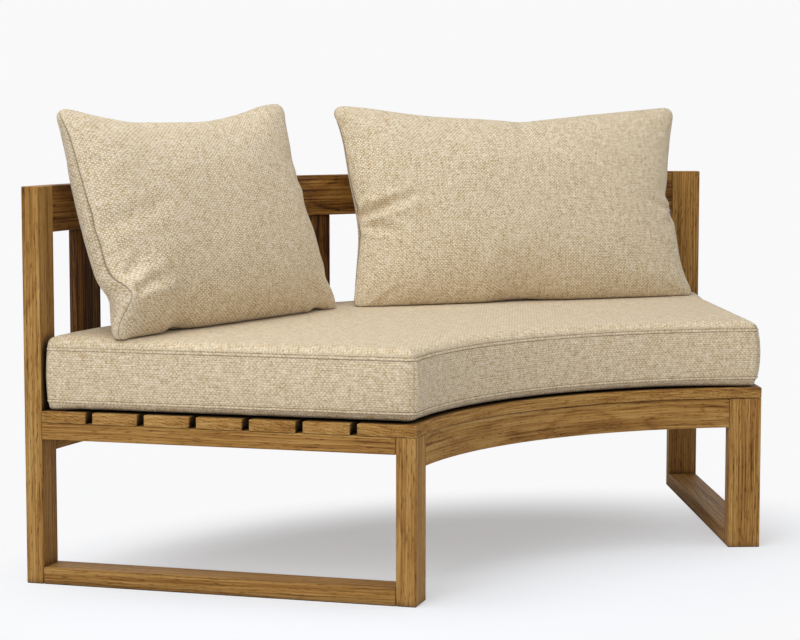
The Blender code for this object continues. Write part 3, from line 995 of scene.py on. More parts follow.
        # Each row's place across the rib, its dip and its seam shade: the grooves are darkened partly for the needle
        # holes and the thread, partly as painted shade in the groove.
        profile = (
            (-1.75, 0.0, 0.0), (-1.25, 0.2, 0.25), (-1.0, 1.0, 1.0), (-0.75, 0.1, 0.2), (-0.35, -0.6, 0.0),
            (0.0, -0.75, 0.0), (0.35, -0.6, 0.0), (0.75, 0.1, 0.2), (1.0, 1.0, 1.0), (1.25, 0.2, 0.25),
            (1.75, 0.0, 0.0),
        )
        rows = []
        for seam, outward in ((self.low_seam, -1), (self.high_seam, 1)):
            block = []
            for place, dip, shade in profile:
                height = seam + place * rib
                past = max(outward * (height - seam), 0.0)
                edge_height = self.low_seam - self.edge_lift if outward < 0 else self.roll_height
                edge_width = self.low_roll_width if outward < 0 else self.roll_width
                rolled = edge_width * (1 - math.sqrt(max(1 - (past / edge_height) ** 2, 0.0)))
                outset = self.bulge_at(height) - rolled - dip * (self.rib_height if dip < 0 else groove)
                block.append((height, outset, shade, abs(place) == 1.0))
            rows.append(block)
        low, high = rows[0][-1][0], rows[1][0][0]
        heights = [low + (high - low) * number / self.bulge_rows for number in range(1, self.bulge_rows)]
        middle = [(height, self.bulge_at(height), 0.0, False) for height in heights]
        return rows[0] + middle + rows[1]

    def bulge_at(self, height: float) -> float:
        """How far the side stands out at a height over the base."""
        share = (height - self.low_seam) / (self.high_seam - self.low_seam)
        return self.side_bulge * math.sin(math.pi * min(max(share, 0.0), 1.0)) ** self.bulge_power

    def build(self) -> bpy.types.Object:
        """Make the cushion and dress it.

        Returns:
            The finished piece.
        """
        along = clustered(self.along_steps, self.along_pull)
        across = clustered(self.across_steps, self.across_pull)
        ring = [(a, -1.0) for a in along[:-1]] + [(1.0, b) for b in across[:-1]]
        ring += [(a, 1.0) for a in along[:0:-1]] + [(-1.0, b) for b in across[:0:-1]]
        ring_along = np.array([a for a, _ in ring])
        ring_across = np.array([b for _, b in ring])
        count = len(ring)
        rows = self.side_rows()
        points, shades = [], []
        for height, outset, shade, _ in rows:
            x, y = self.plan_place(ring_along, ring_across, outset)
            points.append(np.stack([x, y, np.full(count, self.base + height)], axis=1))
            shades.append(np.full(count, shade))
        x, y = points[len(rows) // 2][:, 0], points[len(rows) // 2][:, 1]
        steps = np.hypot(np.roll(x, -1) - x, np.roll(y, -1) - y)
        travel = np.concatenate([[0.0], np.cumsum(steps)])
        self.sew_corners(points, shades, ring_along, ring_across, rows)
        self.stitch([points[index] for index, row in enumerate(rows) if row[3]])
        side = np.arange(count)
        faces, weave = [], []
        for row in range(len(rows) - 1):
            a, b = row * count + side, row * count + (side + 1) % count
            faces.append(np.stack([a, b, b + count, a + count], axis=1))
            low, high = rows[row][0], rows[row + 1][0]
            weave.append(np.stack([
                np.stack([travel[:-1], np.full(count, low)], 1), np.stack([travel[1:], np.full(count, low)], 1),
                np.stack([travel[1:], np.full(count, high)], 1), np.stack([travel[:-1], np.full(count, high)], 1),
            ], axis=1))
        used = len(rows) * count
        flat = np.zeros((used, 2))
        for first_row, upwards in ((0, False), (len(rows) - 1, True)):
            panel_points, panel_faces, shade, flat_panel = self.panel(
                along, across, rows[first_row][1], first_row * count, used, upwards
            )
            seam_x, seam_y = self.plan_place(ring_along, ring_across, rows[first_row][1] + self.rolled_excess(0.0))
            flat[first_row * count:(first_row + 1) * count] = np.stack([seam_x, seam_y], axis=1)
            flat = np.concatenate([flat, flat_panel])
            points.append(panel_points)
            shades.append(shade)
            used += len(panel_points)
            faces.append(panel_faces)
            weave.append(flat[panel_faces] + (0.0 if upwards else self.bottom_cut))
        mesh = mesh_from_grid("seat_cushion", np.concatenate(points), np.concatenate(faces), np.concatenate(weave))
        # The seam attribute darkens the cloth: along the seams partly for the thread, partly as painted shade in the
        # grooves; on the underside as painted shade.
        attribute = mesh.attributes.new("seam", "FLOAT", "POINT")
        attribute.data.foreach_set("value", np.concatenate(shades).astype(np.float32))
        mesh.shade_smooth()
        cushion = new_object("cloth_seat_cushion", mesh)
        cushion.data.materials.append(SEAT_CLOTH.material("woven_outdoor_cloth_seat"))
        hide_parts("seat_cushion")
        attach(cushion, "seat_cushion")
        log.info("seat cushion: %d faces", len(mesh.polygons))
        return cushion

    def stitch(self, lines: list[np.ndarray]) -> bpy.types.Object:
        """Lay a row of thread stitches in each sewn groove.

        Args:
            lines: The closed lines of the grooves, each a row of points.

        Returns:
            The stitches as one piece.
        """
        mesh = bpy.data.meshes.new("seat_cushion_stitches")
        edges, first = [], 0
        for line in lines:
            number = first + np.arange(len(line))
            edges += np.stack([number, np.roll(number, -1)], axis=1).tolist()
            first += len(line)
        mesh.from_pydata(np.concatenate(lines).tolist(), edges, [])
        stitches = new_object("thread_seat_cushion_stitches", mesh)
        run_tree(stitches, self.stitch_tree(), {
            "Pitch": self.stitch_pitch, "Length": self.stitch_length, "Thickness": self.stitch_thickness,
            "Seed": self.stitch_seed, "Thread": THREAD.material("spun_polyester_thread"),
        })
        bake_modifiers(stitches)
        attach(stitches, "seat_cushion")
        log.info("stitches: %d faces", len(stitches.data.polygons))
        return stitches

    @staticmethod
    def stitch_tree() -> bpy.types.NodeTree:
        """Build the tree that sets stitches along lines.

        Returns:
            The geometry tree, with inputs for the stitches' sizes, seed and material.
        """
        sizes = ("Pitch", "Length", "Thickness")
        inputs = {"Lines": "Geometry", **dict.fromkeys(sizes, "Float"), "Seed": "Int", "Thread": "Material"}
        tree, given = new_geometry_tree("stitches_along_seams", inputs, "Stitches")
        add = partial(add_node, tree)
        lines = add("GeometryNodeMeshToCurve", {"Mesh": given["Lines"]})
        holes = add("GeometryNodeResampleCurve", {"Curve": lines, "Length": given["Pitch"]}, mode="LENGTH")
        bead = add("GeometryNodeMeshIcoSphere", {"Radius": 0.5, "Subdivisions": 1})
        turn = add("FunctionNodeAlignRotationToVector", {"Vector": add("GeometryNodeInputTangent")}, axis="X")
        jitter = add("FunctionNodeRandomValue", {2: 0.75, 3: 1.15, "Seed": given["Seed"]}, data_type="FLOAT")
        long = add(MATH, {0: given["Length"], 1: jitter.outputs[1]}, operation="MULTIPLY")
        size = add("ShaderNodeCombineXYZ", {0: long, 1: given["Thickness"], 2: given["Thickness"]})
        laid = add(
            "GeometryNodeInstanceOnPoints", {"Points": holes, "Instance": bead, "Rotation": turn, "Scale": size}
        )
        end_geometry_tree(tree, laid, given["Thread"])
        return tree

    def panel(
        self, along: np.ndarray, across: np.ndarray, outset: float, first: int, used: int, upwards: bool
    ) -> tuple[np.ndarray, ...]:
        """Fill a panel inside a row of the side.

        Args:
            along: Places along the cushion.
            across: Places across the cushion.
            outset: How far outside the seam line the side's row that the panel joins stands.
            first: Number of that row's first vertex.
            used: How many vertices there are already.
            upwards: True for the top panel, False for the bottom one.

        Returns:
            The panel's own vertices, all its quads, how dark each vertex is (painted shade on the underside), and
            where each vertex lies when the panel is flat.
        """
        a, b = np.meshgrid(along, across, indexing="ij")
        x, y = self.plan_place(a, b, outset)
        if upwards:
            z = self.panel_height(a, b)
            shade = np.zeros(a.shape)
        else:
            rolled = 1 - self.edge_share(a, b, self.low_roll_width, self.roll_start)
            lifted = (1 - self.edge_share(a, b, self.edge_lift_width, self.roll_start)) ** 1.5
            # The back and the right end lie down, so nothing shows through under the cushion.
            raised = np.clip((1 - b) / self.lying_back, 0, 1) * np.clip((1.1 - a) / self.lying_end, 0, 1)
            lift = self.edge_lift * lifted / lifted.max() * raised
            z = self.base + lift + (self.low_seam - lift) * rolled
            # Painted shade: the underside darkens to the seam colour where the cushion lies on the slats and no light
            # gets in.
            shade = np.clip(self.underside_painted_shade - rolled / self.underside_shade_edge, 0.0, self.underside_painted_shade)
        columns, lines = a.shape
        number = np.zeros(a.shape, int)
        inside = np.zeros(a.shape, bool)
        inside[1:-1, 1:-1] = True
        number[inside] = used + np.arange(inside.sum())
        count_a, count_b = columns - 1, lines - 1
        number[:-1, 0] = first + np.arange(count_a)
        number[-1, :-1] = first + count_a + np.arange(count_b)
        number[:0:-1, -1] = first + count_a + count_b + np.arange(count_a)
        number[0, :0:-1] = first + 2 * count_a + count_b + np.arange(count_b)
        quads = np.stack([number[:-1, :-1], number[1:, :-1], number[1:, 1:], number[:-1, 1:]], axis=-1).reshape(-1, 4)
        if not upwards:
            quads = quads[:, ::-1]
        excess = self.rolled_excess(self.edge_share(a, b, self.roll_width, self.roll_start))
        flat = np.stack(self.plan_place(a, b, outset + excess), axis=-1)[inside]
        return np.stack([x[inside], y[inside], z[inside]], axis=1), quads, shade[inside], flat

    def sew_corners(
        self, points: list, shades: list, ring_along: np.ndarray, ring_across: np.ndarray, rows: list
    ) -> None:
        """Pull in the upright seam at each corner of the side strip.

        Args:
            points: The rows of the side, changed in place.
            shades: The seam shades of those rows, changed in place.
            ring_along: Place along for each column.
            ring_across: Place across for each column.
            rows: The rows' heights.
        """
        corners = np.where((np.abs(ring_along) == 1.0) & (np.abs(ring_across) == 1.0))[0]
        low, high = self.low_seam + 2 * self.rib_half_width, self.high_seam - 2 * self.rib_half_width
        for index, (height, _, _, _) in enumerate(rows):
            if not low < height < high:
                continue
            for corner in corners:
                for offset, share in ((-1, 0.35), (0, 1.0), (1, 0.35)):
                    column = (corner + offset) % len(ring_along)
                    place = points[index][column]
                    before = points[index][(column - self.corner_columns) % len(ring_along)]
                    after = points[index][(column + self.corner_columns) % len(ring_along)]
                    inward = (before + after) / 2 - place
                    length = np.linalg.norm(inward)
                    points[index][column] = place + inward / length * self.groove_depth * share
                    # The pulled-in seam is darkened: partly the seam's own colour, partly painted shade in its groove.
                    shades[index][column] = self.corner_shade * share


DOME_SAMPLES = 6000


def even_cuts(half_length: float, half_thickness: float, power: float, step: float, hem: float) -> tuple:
    """Divide a domed panel evenly along its curved surface, with a narrow strip beside the seam.

    Args:
        half_length: From the middle to the seam.
        half_thickness: Height of the dome.
        power: How square the dome is.
        step: Length of a division along the cloth.
        hem: Width of the strip beside the seam.

    Returns:
        The places from -1 to 1, and how far along the cloth each lies from the middle.
    """
    fine = 1 - (1 - np.linspace(0.0, 1.0, DOME_SAMPLES)) ** 5
    rise = half_thickness * (1 - fine**2) ** power
    travel = np.concatenate([[0.0], np.cumsum(np.hypot(np.diff(fine) * half_length, np.diff(rise)))])
    reach = travel[-1] - hem
    far = np.append(np.linspace(0.0, reach, round(reach / step) + 1), travel[-1])
    places = np.interp(far, travel, fine)
    return np.concatenate([-places[:0:-1], places]), np.concatenate([-far[:0:-1], far])


def smooth_curve(table: tuple[tuple[float, float], ...], at: np.ndarray) -> np.ndarray:
    """Read a table along a smooth curve through its values.

    Args:
        table: Place and value of each point, in order.
        at: The places to read.

    Returns:
        The values there.
    """
    places, values = np.array(table).T
    slopes = np.gradient(values, places)
    first = np.clip(np.searchsorted(places, at, side="right") - 1, 0, len(places) - 2)
    span = places[first + 1] - places[first]
    share = (at - places[first]) / span
    start = (2 * share**3 - 3 * share**2 + 1) * values[first] + (share**3 - 2 * share**2 + share) * span * slopes[first]
    rest = (3 * share**2 - 2 * share**3) * values[first + 1] + (share**3 - share**2) * span * slopes[first + 1]
    return start + rest


@dataclass(frozen=True)
class Fold:
    """A crease in a pillow's front panel, deepest where it starts at the seam."""

    start: tuple[float, float]
    end: tuple[float, float]
    depth: float
    half_width: float
    ridge: float = 0.45
    ridge_place: float = 2.1

    def dent(self, x: np.ndarray, z: np.ndarray) -> np.ndarray:
        """How deep the crease presses a panel in, with a low ridge on both of its sides.

        Args:
            x: Place across the pillow.
            z: Place up the pillow.

        Returns:
            The depth, less than nothing on the ridges.
        """
        run = np.subtract(self.end, self.start)
        length = np.hypot(*run)
        along = ((x - self.start[0]) * run[0] + (z - self.start[1]) * run[1]) / length**2
        apart = np.abs((x - self.start[0]) * run[1] - (z - self.start[1]) * run[0]) / length / self.half_width
        taper = np.clip(1 - along, 0, 1) ** 1.2 * np.clip(1 + along * 6, 0, 1)
        ridge = self.ridge * np.exp(-((apart - self.ridge_place) ** 2))
        return self.depth * taper * (np.exp(-(apart**2)) - ridge)


@dataclass(frozen=True)
class Rim:
    """How far a pillow's seam is drawn in, from its cut size, along each edge, from foot to top or left to right."""

    left: tuple[tuple[float, float], ...]
    right: tuple[tuple[float, float], ...]
    top: tuple[tuple[float, float], ...]
    foot: tuple[tuple[float, float], ...] = ((0.0, 0.0), (1.0, 0.0))
    pinch_share: float = 0.19
    pinch_spread: float = 0.085
    pinch_forward: float = 0.0
    left_forward: float = 0.0


# How the pillows' cloth gives while air fills them.
SWELLING = {
    "quality": 6, "mass": 0.3, "tension_stiffness": 15, "compression_stiffness": 15, "shear_stiffness": 6,
    "bending_stiffness": 1.5, "use_pressure": True, "uniform_pressure_force": 4.0,
}


@dataclass
class Pillow:
    """Knife-edged back pillow, its two panels sewn together all round, leaning on the top rail."""

    name: str
    width: float
    height: float
    inner_angle: float
    corner_span: float
    rail_gap: float
    side: int
    lean: float
    turn: float
    rim: Rim
    folds: tuple[Fold, ...]
    thickness: float = 0.160
    bend: float = 0.010
    front_fullness: float = 0.44
    back_fullness: float = 0.29
    sag: float = 0.12
    tip_radius: float = 0.032
    seam_depth: float = 0.0012
    sink: float = 0.012
    contact_gap: float = 0.0007
    contact_soft: float = 0.005
    step: float = 0.0085
    hem: float = 0.0025
    # Cloth nearer to a tip than this swells less, and not at all within this share of it.
    tight_tip: float = 0.060
    tight_share: float = 0.3
    # How soon the forward seam fades into the front panel and into the back panel.
    seam_fades: tuple[int, int] = (9, 28)
    # The back panel is cut from the cloth this far from the front one.
    back_cut: float = 2.0
    ripple: float = 0.0011
    cut_excess: float = 1.035
    swell_limit: float = 0.012
    swell_frames: int = 20
    cloth: WovenCloth = PILLOW_CLOTH

    def shape(self, across: np.ndarray, up: np.ndarray, face: int) -> np.ndarray:
        """Place of points on one upright panel before it leans.

        Args:
            across: From -1 at the left edge to 1 at the right edge.
            up: From -1 at the foot to 1 at the top.
            face: -1 for the front panel, 1 for the back panel.

        Returns:
            The points.
        """
        half_width, half_height = self.width / 2, self.height / 2
        over_side = np.maximum(np.abs(across) * half_width - (half_width - self.tip_radius), 0.0)
        over_end = np.maximum(np.abs(up) * half_height - (half_height - self.tip_radius), 0.0)
        turned_side = over_side * np.sqrt(1 - (over_end / self.tip_radius) ** 2 / 2)
        turned_end = over_end * np.sqrt(1 - (over_side / self.tip_radius) ** 2 / 2)
        right = (across - np.sign(across) * (over_side - turned_side) / half_width + 1) / 2
        raised = (up - np.sign(up) * (over_end - turned_end) / half_height + 1) / 2
        left_edge = -half_width + smooth_curve(self.rim.left, raised)
        right_edge = half_width - smooth_curve(self.rim.right, raised)
        foot = np.maximum(smooth_curve(self.rim.foot, right), 0.0)
        top = self.height - smooth_curve(self.rim.top, right)
        x = left_edge * (1 - right) + right_edge * right
        z = foot * (1 - raised) + top * raised
        width_share, height_share = 1 - across**2, 1 - up**2
        power = self.front_fullness if face < 0 else self.back_fullness
        full = np.maximum(width_share * height_share, 0.0) ** power * (1 - self.sag * up)
        y = face * self.thickness / 2 * full + self.bend * width_share
        # The left seam lies forward of the pillow's widest line, and most where a fold pinches it.
        pinch = self.rim.pinch_forward * np.exp(-(((raised - self.rim.pinch_share) / self.rim.pinch_spread) ** 2))
        forward = self.rim.left_forward * (1 - up**6) + pinch
        y = y - forward * (1 - right) ** self.seam_fades[0 if face < 0 else 1]
        return np.stack([x, y, z], axis=-1)

    def place(self) -> Matrix:
        """Stand the pillow on the seat, leaning on the rail.

        Returns:
            The matrix that moves the upright pillow there.
        """
        corner_radius = PLAN.back_face_radius - self.rail_gap
        spread = math.asin(self.corner_span / 2 / corner_radius)
        angle = self.inner_angle + self.side * spread
        foot = PLAN.point(corner_radius * math.cos(spread), angle, 0.0)
        turn = Euler((-self.lean, 0.0, self.turn - angle)).to_matrix().to_4x4()
        return Matrix.Translation(foot) @ turn

    def build(self, cushion: SeatCushion) -> bpy.types.Object:
        """Make the pillow, swell it, lower it onto the seat cushion and dress it.

        Args:
            cushion: The seat cushion that carries it.

        Returns:
            The finished piece.
        """
        power = (self.front_fullness + self.back_fullness) / 2
        halves = (self.width / 2, self.height / 2)
        cuts = [even_cuts(half, self.thickness / 2, power, self.step, self.hem) for half in halves]
        across, up = np.meshgrid(cuts[0][0], cuts[1][0], indexing="ij")
        size = across.size
        number = np.arange(size).reshape(across.shape)
        quads = np.stack([number[:-1, :-1], number[1:, :-1], number[1:, 1:], number[:-1, 1:]], axis=-1).reshape(-1, 4)
        edge = (np.abs(across) == 1.0) | (np.abs(up) == 1.0)
        back = np.where(edge, number, number + size)
        back_quads = back.ravel()[quads][:, ::-1]
        points = np.concatenate([self.shape(across, up, -1).reshape(-1, 3), self.shape(across, up, 1).reshape(-1, 3)])
        cloth_place = np.stack(np.meshgrid(cuts[0][1], cuts[1][1], indexing="ij"), axis=-1).reshape(-1, 2)
        weave = np.concatenate([cloth_place[quads], cloth_place[quads][:, ::-1] + self.back_cut])
        faces = np.concatenate([quads, back_quads])
        kept = np.unique(faces)
        renumber = np.zeros(2 * size, int)
        renumber[kept] = np.arange(len(kept))
        mesh = mesh_from_grid(self.name, points[kept], renumber[faces], weave)
        on_edge = np.concatenate([edge.ravel(), np.zeros(size, bool)])[kept]
        # The seam attribute darkens a thin line round the pillow: partly the thread, partly painted shade in the seam's
        # crease.
        seam = mesh.attributes.new("seam", "FLOAT", "POINT")
        seam.data.foreach_set("value", on_edge.astype(np.float32))
        pillow = new_object(f"cloth_{self.name}", mesh)
        start = points[kept]
        swollen = self.swell(pillow, on_edge)
        moved = swollen - start
        # The tips are sewn too tight to swell.
        from_tip = np.hypot(cuts[0][1].max() - np.abs(cloth_place[:, 0]), cuts[1][1].max() - np.abs(cloth_place[:, 1]))
        moved *= np.clip(np.tile(from_tip, 2)[kept] / self.tight_tip - self.tight_share, 0.0, 1.0)[:, None]
        reach = np.linalg.norm(moved, axis=1, keepdims=True)
        swollen = start + moved * np.minimum(1, self.swell_limit / np.maximum(reach, 1e-9))
        front = np.concatenate([np.ones(size, bool), np.zeros(size, bool)])[kept]
        # The filling is never quite even: the panel rises and falls by a millimetre or two.
        x, z = swollen[front, 0], swollen[front, 2]
        broad = np.sin(x / 0.034 + 1.3) * np.sin(z / 0.043 + 0.4)
        broad += 0.6 * np.sin((x + 0.7 * z) / 0.017) * np.sin(z / 0.029)
        swollen[front, 1] += self.ripple * broad * np.where(on_edge[front], 0.0, 1.0)
        for fold in self.folds:
            swollen[front, 1] += fold.dent(swollen[front, 0], swollen[front, 2])
        inward = np.array([0.0, 0.0, self.height / 2]) - swollen[on_edge]
        inward[:, 1] = 0.0
        swollen[on_edge] += inward / np.linalg.norm(inward, axis=1, keepdims=True) * self.seam_depth
        placed = swollen @ np.array(self.place().to_3x3()).T + np.array(self.place().translation)
        mesh.vertices.foreach_set("co", self.settle(placed, cushion).ravel())
        mesh.update()
        rounded = pillow.modifiers.new("rounded", "SUBSURF")
        rounded.levels = rounded.render_levels = 1
        bake_modifiers(pillow)
        pillow.data.shade_smooth()
        pillow.data.materials.append(self.cloth.material(f"woven_outdoor_cloth_{self.name}"))
        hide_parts(self.name)
        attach(pillow, self.name)
        most = reach.max() / MILLIMETRE
        log.info("%s: %d faces, swelled by up to %.1f mm", self.name, len(pillow.data.polygons), most)
        return pillow

    def swell(self, pillow: bpy.types.Object, on_edge: np.ndarray) -> np.ndarray:
        """Fill the pillow with air by cloth simulation, its seam held, its panels cut a little large.

        Args:
            pillow: The pillow, still upright at the origin.
            on_edge: For each vertex, whether it is on the seam.

        Returns:
            The swollen places of its vertices.
        """
        mesh = pillow.data
        held = pillow.vertex_groups.new(name="seam")
        held.add([int(number) for number in np.where(on_edge)[0]], 1.0, "REPLACE")
        pillow.shape_key_add(name="sewn")
        cut = pillow.shape_key_add(name="cut")
        places = np.zeros(len(mesh.vertices) * 3)
        mesh.vertices.foreach_get("co", places)
        places = places.reshape(-1, 3) * (self.cut_excess, 1.0, self.cut_excess)
        cut.data.foreach_set("co", places.ravel())
        cloth = pillow.modifiers.new("cloth", "CLOTH")
        settings = cloth.settings
        for name, value in SWELLING.items():
            setattr(settings, name, value)
        settings.effector_weights.gravity = 0.0
        settings.vertex_group_mass = held.name
        settings.rest_shape_key = cut
        scene = bpy.context.scene
        cloth.point_cache.frame_start, cloth.point_cache.frame_end = 1, self.swell_frames
        for number in range(1, self.swell_frames + 1):
            scene.frame_set(number)
        evaluated = pillow.evaluated_get(bpy.context.evaluated_depsgraph_get())
        swollen = np.zeros(len(mesh.vertices) * 3)
        evaluated.data.vertices.foreach_get("co", swollen)
        pillow.modifiers.remove(cloth)
        pillow.shape_key_clear()
        pillow.vertex_groups.clear()
        scene.frame_set(1)
        return swollen.reshape(-1, 3)

    def settle(self, points: np.ndarray, cushion: SeatCushion) -> np.ndarray:
        """Lower a pillow until its foot presses flat on the seat cushion.

        Args:
            points: The places of its vertices.
            cushion: The seat cushion.

        Returns:
            The settled places.
        """
        floor = cushion.top_height(points[:, 0], points[:, 1]) + self.contact_gap
        lowered = points[:, 2] - (points[:, 2] - floor).min() - self.sink
        # The last few millimetres bend smoothly, so the foot rounds into its contact.
        soft = self.contact_soft
        gap = lowered - floor
        eased = np.where(gap < soft, soft * np.exp(np.minimum(gap / soft - 1, 0.0)), gap)
        return np.stack([points[:, 0], points[:, 1], floor + eased - soft * math.exp(-1 - self.sink / soft)], axis=1)


LEFT_PILLOW = Pillow(
    "left_pillow", 0.780, 0.463, math.radians(-2.3), 0.764, 0.140, -1, math.radians(17.5), math.radians(2.6),
    Rim(
        left=(
            (0.0, 0.0), (0.05, 0.004), (0.11, 0.006), (0.19, 0.006), (0.28, 0.006), (0.43, 0.005), (0.72, 0.002),
            (0.90, 0.001), (1.0, -0.003),
        ),
        right=(
            (0.0, 0.010), (0.10, 0.034), (0.22, 0.044), (0.38, 0.048), (0.50, 0.057), (0.60, 0.053), (0.70, 0.058),
            (0.79, 0.045), (0.88, 0.033), (1.0, 0.008),
        ),
        top=(
            (0.0, 0.012), (0.07, 0.015), (0.16, 0.026), (0.27, 0.037), (0.40, 0.038), (0.66, 0.034), (0.79, 0.020),
            (0.89, 0.005), (0.95, 0.001), (1.0, 0.003),
        ),
        foot=(
            (0.0, 0.0), (0.17, 0.0), (0.235, 0.0145), (0.30, 0.006), (0.45, 0.0), (0.83, 0.0), (0.89, 0.0135),
            (0.95, 0.0), (1.0, 0.0),
        ),
        pinch_share=0.172,
        pinch_spread=0.066,
        pinch_forward=0.046,
        left_forward=0.015,
    ),
    (
        Fold((-0.365, 0.084), (-0.235, 0.108), 0.018, 0.010),
        Fold((-0.360, 0.075), (-0.285, 0.035), 0.010, 0.011),
        Fold((-0.366, 0.215), (-0.150, 0.262), 0.005, 0.015),
        Fold((-0.372, 0.330), (-0.290, 0.345), 0.003, 0.012),
        Fold((-0.372, 0.058), (-0.330, 0.020), 0.006, 0.007),
        Fold((-0.366, 0.112), (-0.300, 0.165), 0.009, 0.009),
        Fold((0.372, 0.060), (0.270, 0.095), 0.006, 0.012),
        Fold((0.345, 0.290), (0.250, 0.270), 0.005, 0.012),
    ),
    # This pillow is turned away from the camera, so its warp is drawn coarser still to show.
    cloth=replace(PILLOW_CLOTH, column_mm=5.9),
)
RIGHT_PILLOW = Pillow(
    "right_pillow", 0.862, 0.458, math.radians(-1.2), 0.828, 0.127, 1, math.radians(15.5), math.radians(0.5),
    Rim(
        left=((0.0, 0.016), (0.18, 0.034), (0.40, 0.052), (0.50, 0.050), (0.62, 0.043), (0.91, 0.026), (1.0, 0.010)),
        right=(
            (0.0, 0.002), (0.17, 0.030), (0.33, 0.036), (0.43, 0.041), (0.485, 0.046), (0.52, 0.052), (0.57, 0.046),
            (0.78, 0.024), (1.0, -0.004),
        ),
        top=(
            (0.0, 0.002), (0.06, 0.003), (0.255, 0.022), (0.45, 0.031), (0.535, 0.037), (0.60, 0.032), (0.78, 0.018),
            (1.0, 0.003),
        ),
        foot=((0.0, 0.0), (0.36, 0.0), (0.43, 0.0135), (0.50, 0.0150), (0.58, 0.004), (0.66, 0.0), (1.0, 0.0)),
    ),
    (
        Fold((-0.385, 0.205), (-0.235, 0.250), 0.024, 0.009),
        Fold((-0.385, 0.190), (-0.290, 0.155), 0.014, 0.009),
        Fold((0.380, 0.205), (0.285, 0.232), 0.015, 0.008),
        Fold((0.030, 0.412), (0.020, 0.340), 0.006, 0.012),
        Fold((-0.372, 0.225), (-0.345, 0.150), 0.007, 0.006),
        Fold((0.385, 0.190), (0.330, 0.150), 0.008, 0.009),
        Fold((-0.020, 0.012), (-0.060, 0.085), 0.004, 0.014),
    ),
)


@dataclass(frozen=True)
class Lamp:
    """A soft square lamp: its place, its side's length and its power in watts."""

    name: str
    place: tuple[float, float, float]
    size: float
    power: float

    def hang(self, aim: tuple[float, float, float]) -> None:
        """Hang the lamp.

        Args:
            aim: The place that it shines on.
        """
        lamp = bpy.data.lights.new(self.name, "AREA")
        lamp.size, lamp.energy = self.size, self.power
        item = bpy.data.objects.new(self.name, lamp)
        item.location = self.place
        item.rotation_euler = (Vector(aim) - Vector(self.place)).to_track_quat("-Z", "Y").to_euler()
        bpy.context.scene.collection.objects.link(item)


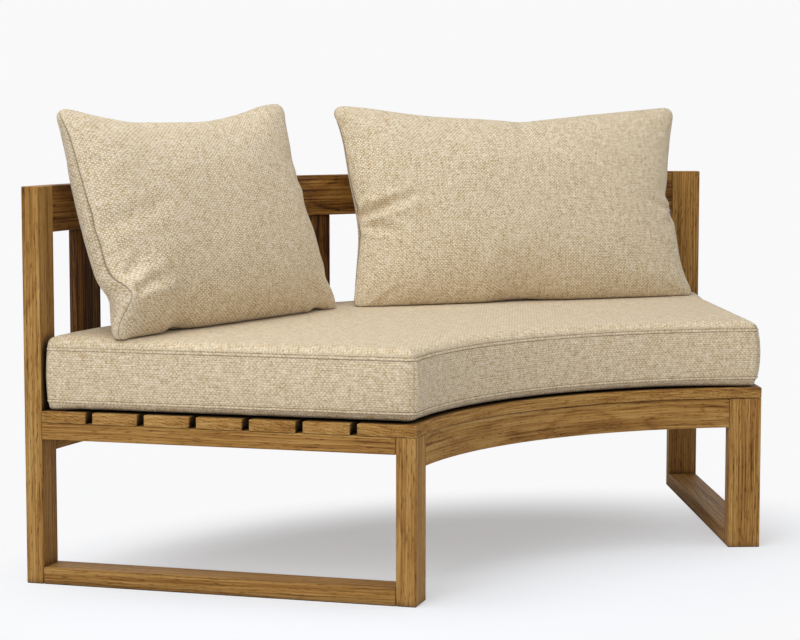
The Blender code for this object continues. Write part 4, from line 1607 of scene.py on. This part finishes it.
@dataclass
class Studio:
    """Plain pale floor, soft lamps and the camera at the photograph's angle."""

    camera_place: tuple[float, float, float] = (-2.86407, -3.470755, 0.87971)
    camera_yaw: float = 0.66775
    camera_pitch: float = 0.09367
    focal_pixels: float = 2200.6
    image_width: int = 800
    sensor_width: float = 36.0
    lamps: tuple[Lamp, ...] = (
        Lamp("overhead", (-0.9, -0.2, 3.2), 3.0, 60.0),
        Lamp("key", (-4.0, -2.0, 3.0), 2.2, 66.0),
        Lamp("fill", (3.2, -3.6, 2.2), 3.2, 24.0),
    )
    aim: tuple[float, float, float] = (0.0, 0.0, 0.35)
    dome_strength: float = 0.34
    floor_colour: str = "#F9F9FA"
    floor_radius: float = 40.0
    # The floor as the bench's light meets it, and as the camera sees it.
    matt: tuple[float, ...] = (0.86, 0.86, 0.865, 1.0)
    seen_matt: tuple[float, ...] = (0.57, 0.595, 0.635, 1.0)
    lift_colour: tuple[float, ...] = (0.98, 0.99, 1.0, 1.0)
    lift_strength: float = 0.395
    shadow_shift: tuple[float, float, float] = (0.17, 0.28, 0.0)
    shadow_scale: tuple[float, float, float] = (1.0, 1.45, 1.0)
    shadow_inner: float = 0.55
    shadow_outer: float = 1.15

    def build(self) -> None:
        """Make the floor, the world, the lamps and the camera."""
        self.add_floor()
        self.add_world()
        for lamp in self.lamps:
            lamp.hang(self.aim)
        self.add_camera()
        bpy.context.scene.view_settings.view_transform = "Standard"

    def add_floor(self) -> None:
        """Make a wide floor that keeps the bench's shadow and fades into the white around it."""
        mesh = bpy.data.meshes.new("floor")
        shape = bmesh.new()
        bmesh.ops.create_circle(shape, cap_ends=True, segments=96, radius=self.floor_radius)
        shape.to_mesh(mesh)
        shape.free()
        floor = new_object("floor", mesh)
        material, tree, _ = new_material("pale_studio_floor")
        tree.nodes.clear()
        add = partial(add_node, tree)
        place = add("ShaderNodeTexCoord").outputs["Object"]
        # The shadow keeps to an oval under the seat, as the photographed one does.
        oval = add("ShaderNodeMapping", {"Vector": place, "Location": self.shadow_shift, "Scale": self.shadow_scale})
        flat = add(VECTOR_MATH, {0: oval}, operation="LENGTH").outputs["Value"]
        edges = {"From Min": self.shadow_inner, "From Max": self.shadow_outer, "To Min": 1.0, "To Max": 0.0}
        near = add("ShaderNodeMapRange", {"Value": flat, **edges}, interpolation_type="SMOOTHSTEP")
        matt = add("ShaderNodeBsdfDiffuse", {"Color": self.matt})
        seen_matt = add("ShaderNodeBsdfDiffuse", {"Color": self.seen_matt})
        glow = add("ShaderNodeEmission", {"Color": linear_colour(self.floor_colour), "Strength": 1.0})
        # The shaded floor is the light that it gets, and a little more that lifts the open floor to white.
        lift = add("ShaderNodeEmission", {"Color": self.lift_colour, "Strength": self.lift_strength})
        shaded = add("ShaderNodeAddShader", {0: seen_matt, 1: lift})
        seen = add("ShaderNodeMixShader", {0: near, 1: glow, 2: shaded})
        camera_sees = add("ShaderNodeLightPath").outputs["Is Camera Ray"]
        add("ShaderNodeOutputMaterial", {"Surface": add("ShaderNodeMixShader", {0: camera_sees, 1: matt, 2: seen})})
        mesh.materials.append(material)

    def add_world(self) -> None:
        """Surround the bench with even light, and with white where the camera or a gloss sees past the floor."""
        world = bpy.data.worlds.new("studio")
        bpy.context.scene.world = world
        world.use_nodes = True
        world.node_tree.nodes.clear()
        add = partial(add_node, world.node_tree)
        rays = add("ShaderNodeLightPath").outputs
        dome = add("ShaderNodeBackground", {"Color": (1.0, 1.0, 1.0, 1.0), "Strength": self.dome_strength})
        white = add("ShaderNodeBackground", {"Color": linear_colour(self.floor_colour), "Strength": 1.0})
        seen = add(MATH, {0: rays["Is Camera Ray"], 1: rays["Is Glossy Ray"]}, operation="MAXIMUM")
        add("ShaderNodeOutputWorld", {"Surface": add("ShaderNodeMixShader", {0: seen, 1: dome, 2: white})})

    def add_camera(self) -> None:
        """Set the camera that was fitted to the photograph."""
        data = bpy.data.cameras.new("camera")
        data.sensor_width = self.sensor_width
        data.lens = self.focal_pixels / self.image_width * self.sensor_width
        data.clip_start = 0.1
        data.clip_end = 100.0
        camera = bpy.data.objects.new("camera", data)
        camera.location = self.camera_place
        camera.rotation_euler = (math.pi / 2 - self.camera_pitch, 0.0, -self.camera_yaw)
        bpy.context.scene.collection.objects.link(camera)
        bpy.context.scene.camera = camera


def main() -> None:
    """Build and dress every sub-assembly in order."""
    logging.basicConfig(level=logging.INFO, format="%(name)s: %(message)s")
    Studio().build()
    BenchFrame().build()
    cushion = SeatCushion()
    cushion.build()
    LEFT_PILLOW.build(cushion)
    RIGHT_PILLOW.build(cushion)


if __name__ == "__main__":
    main()
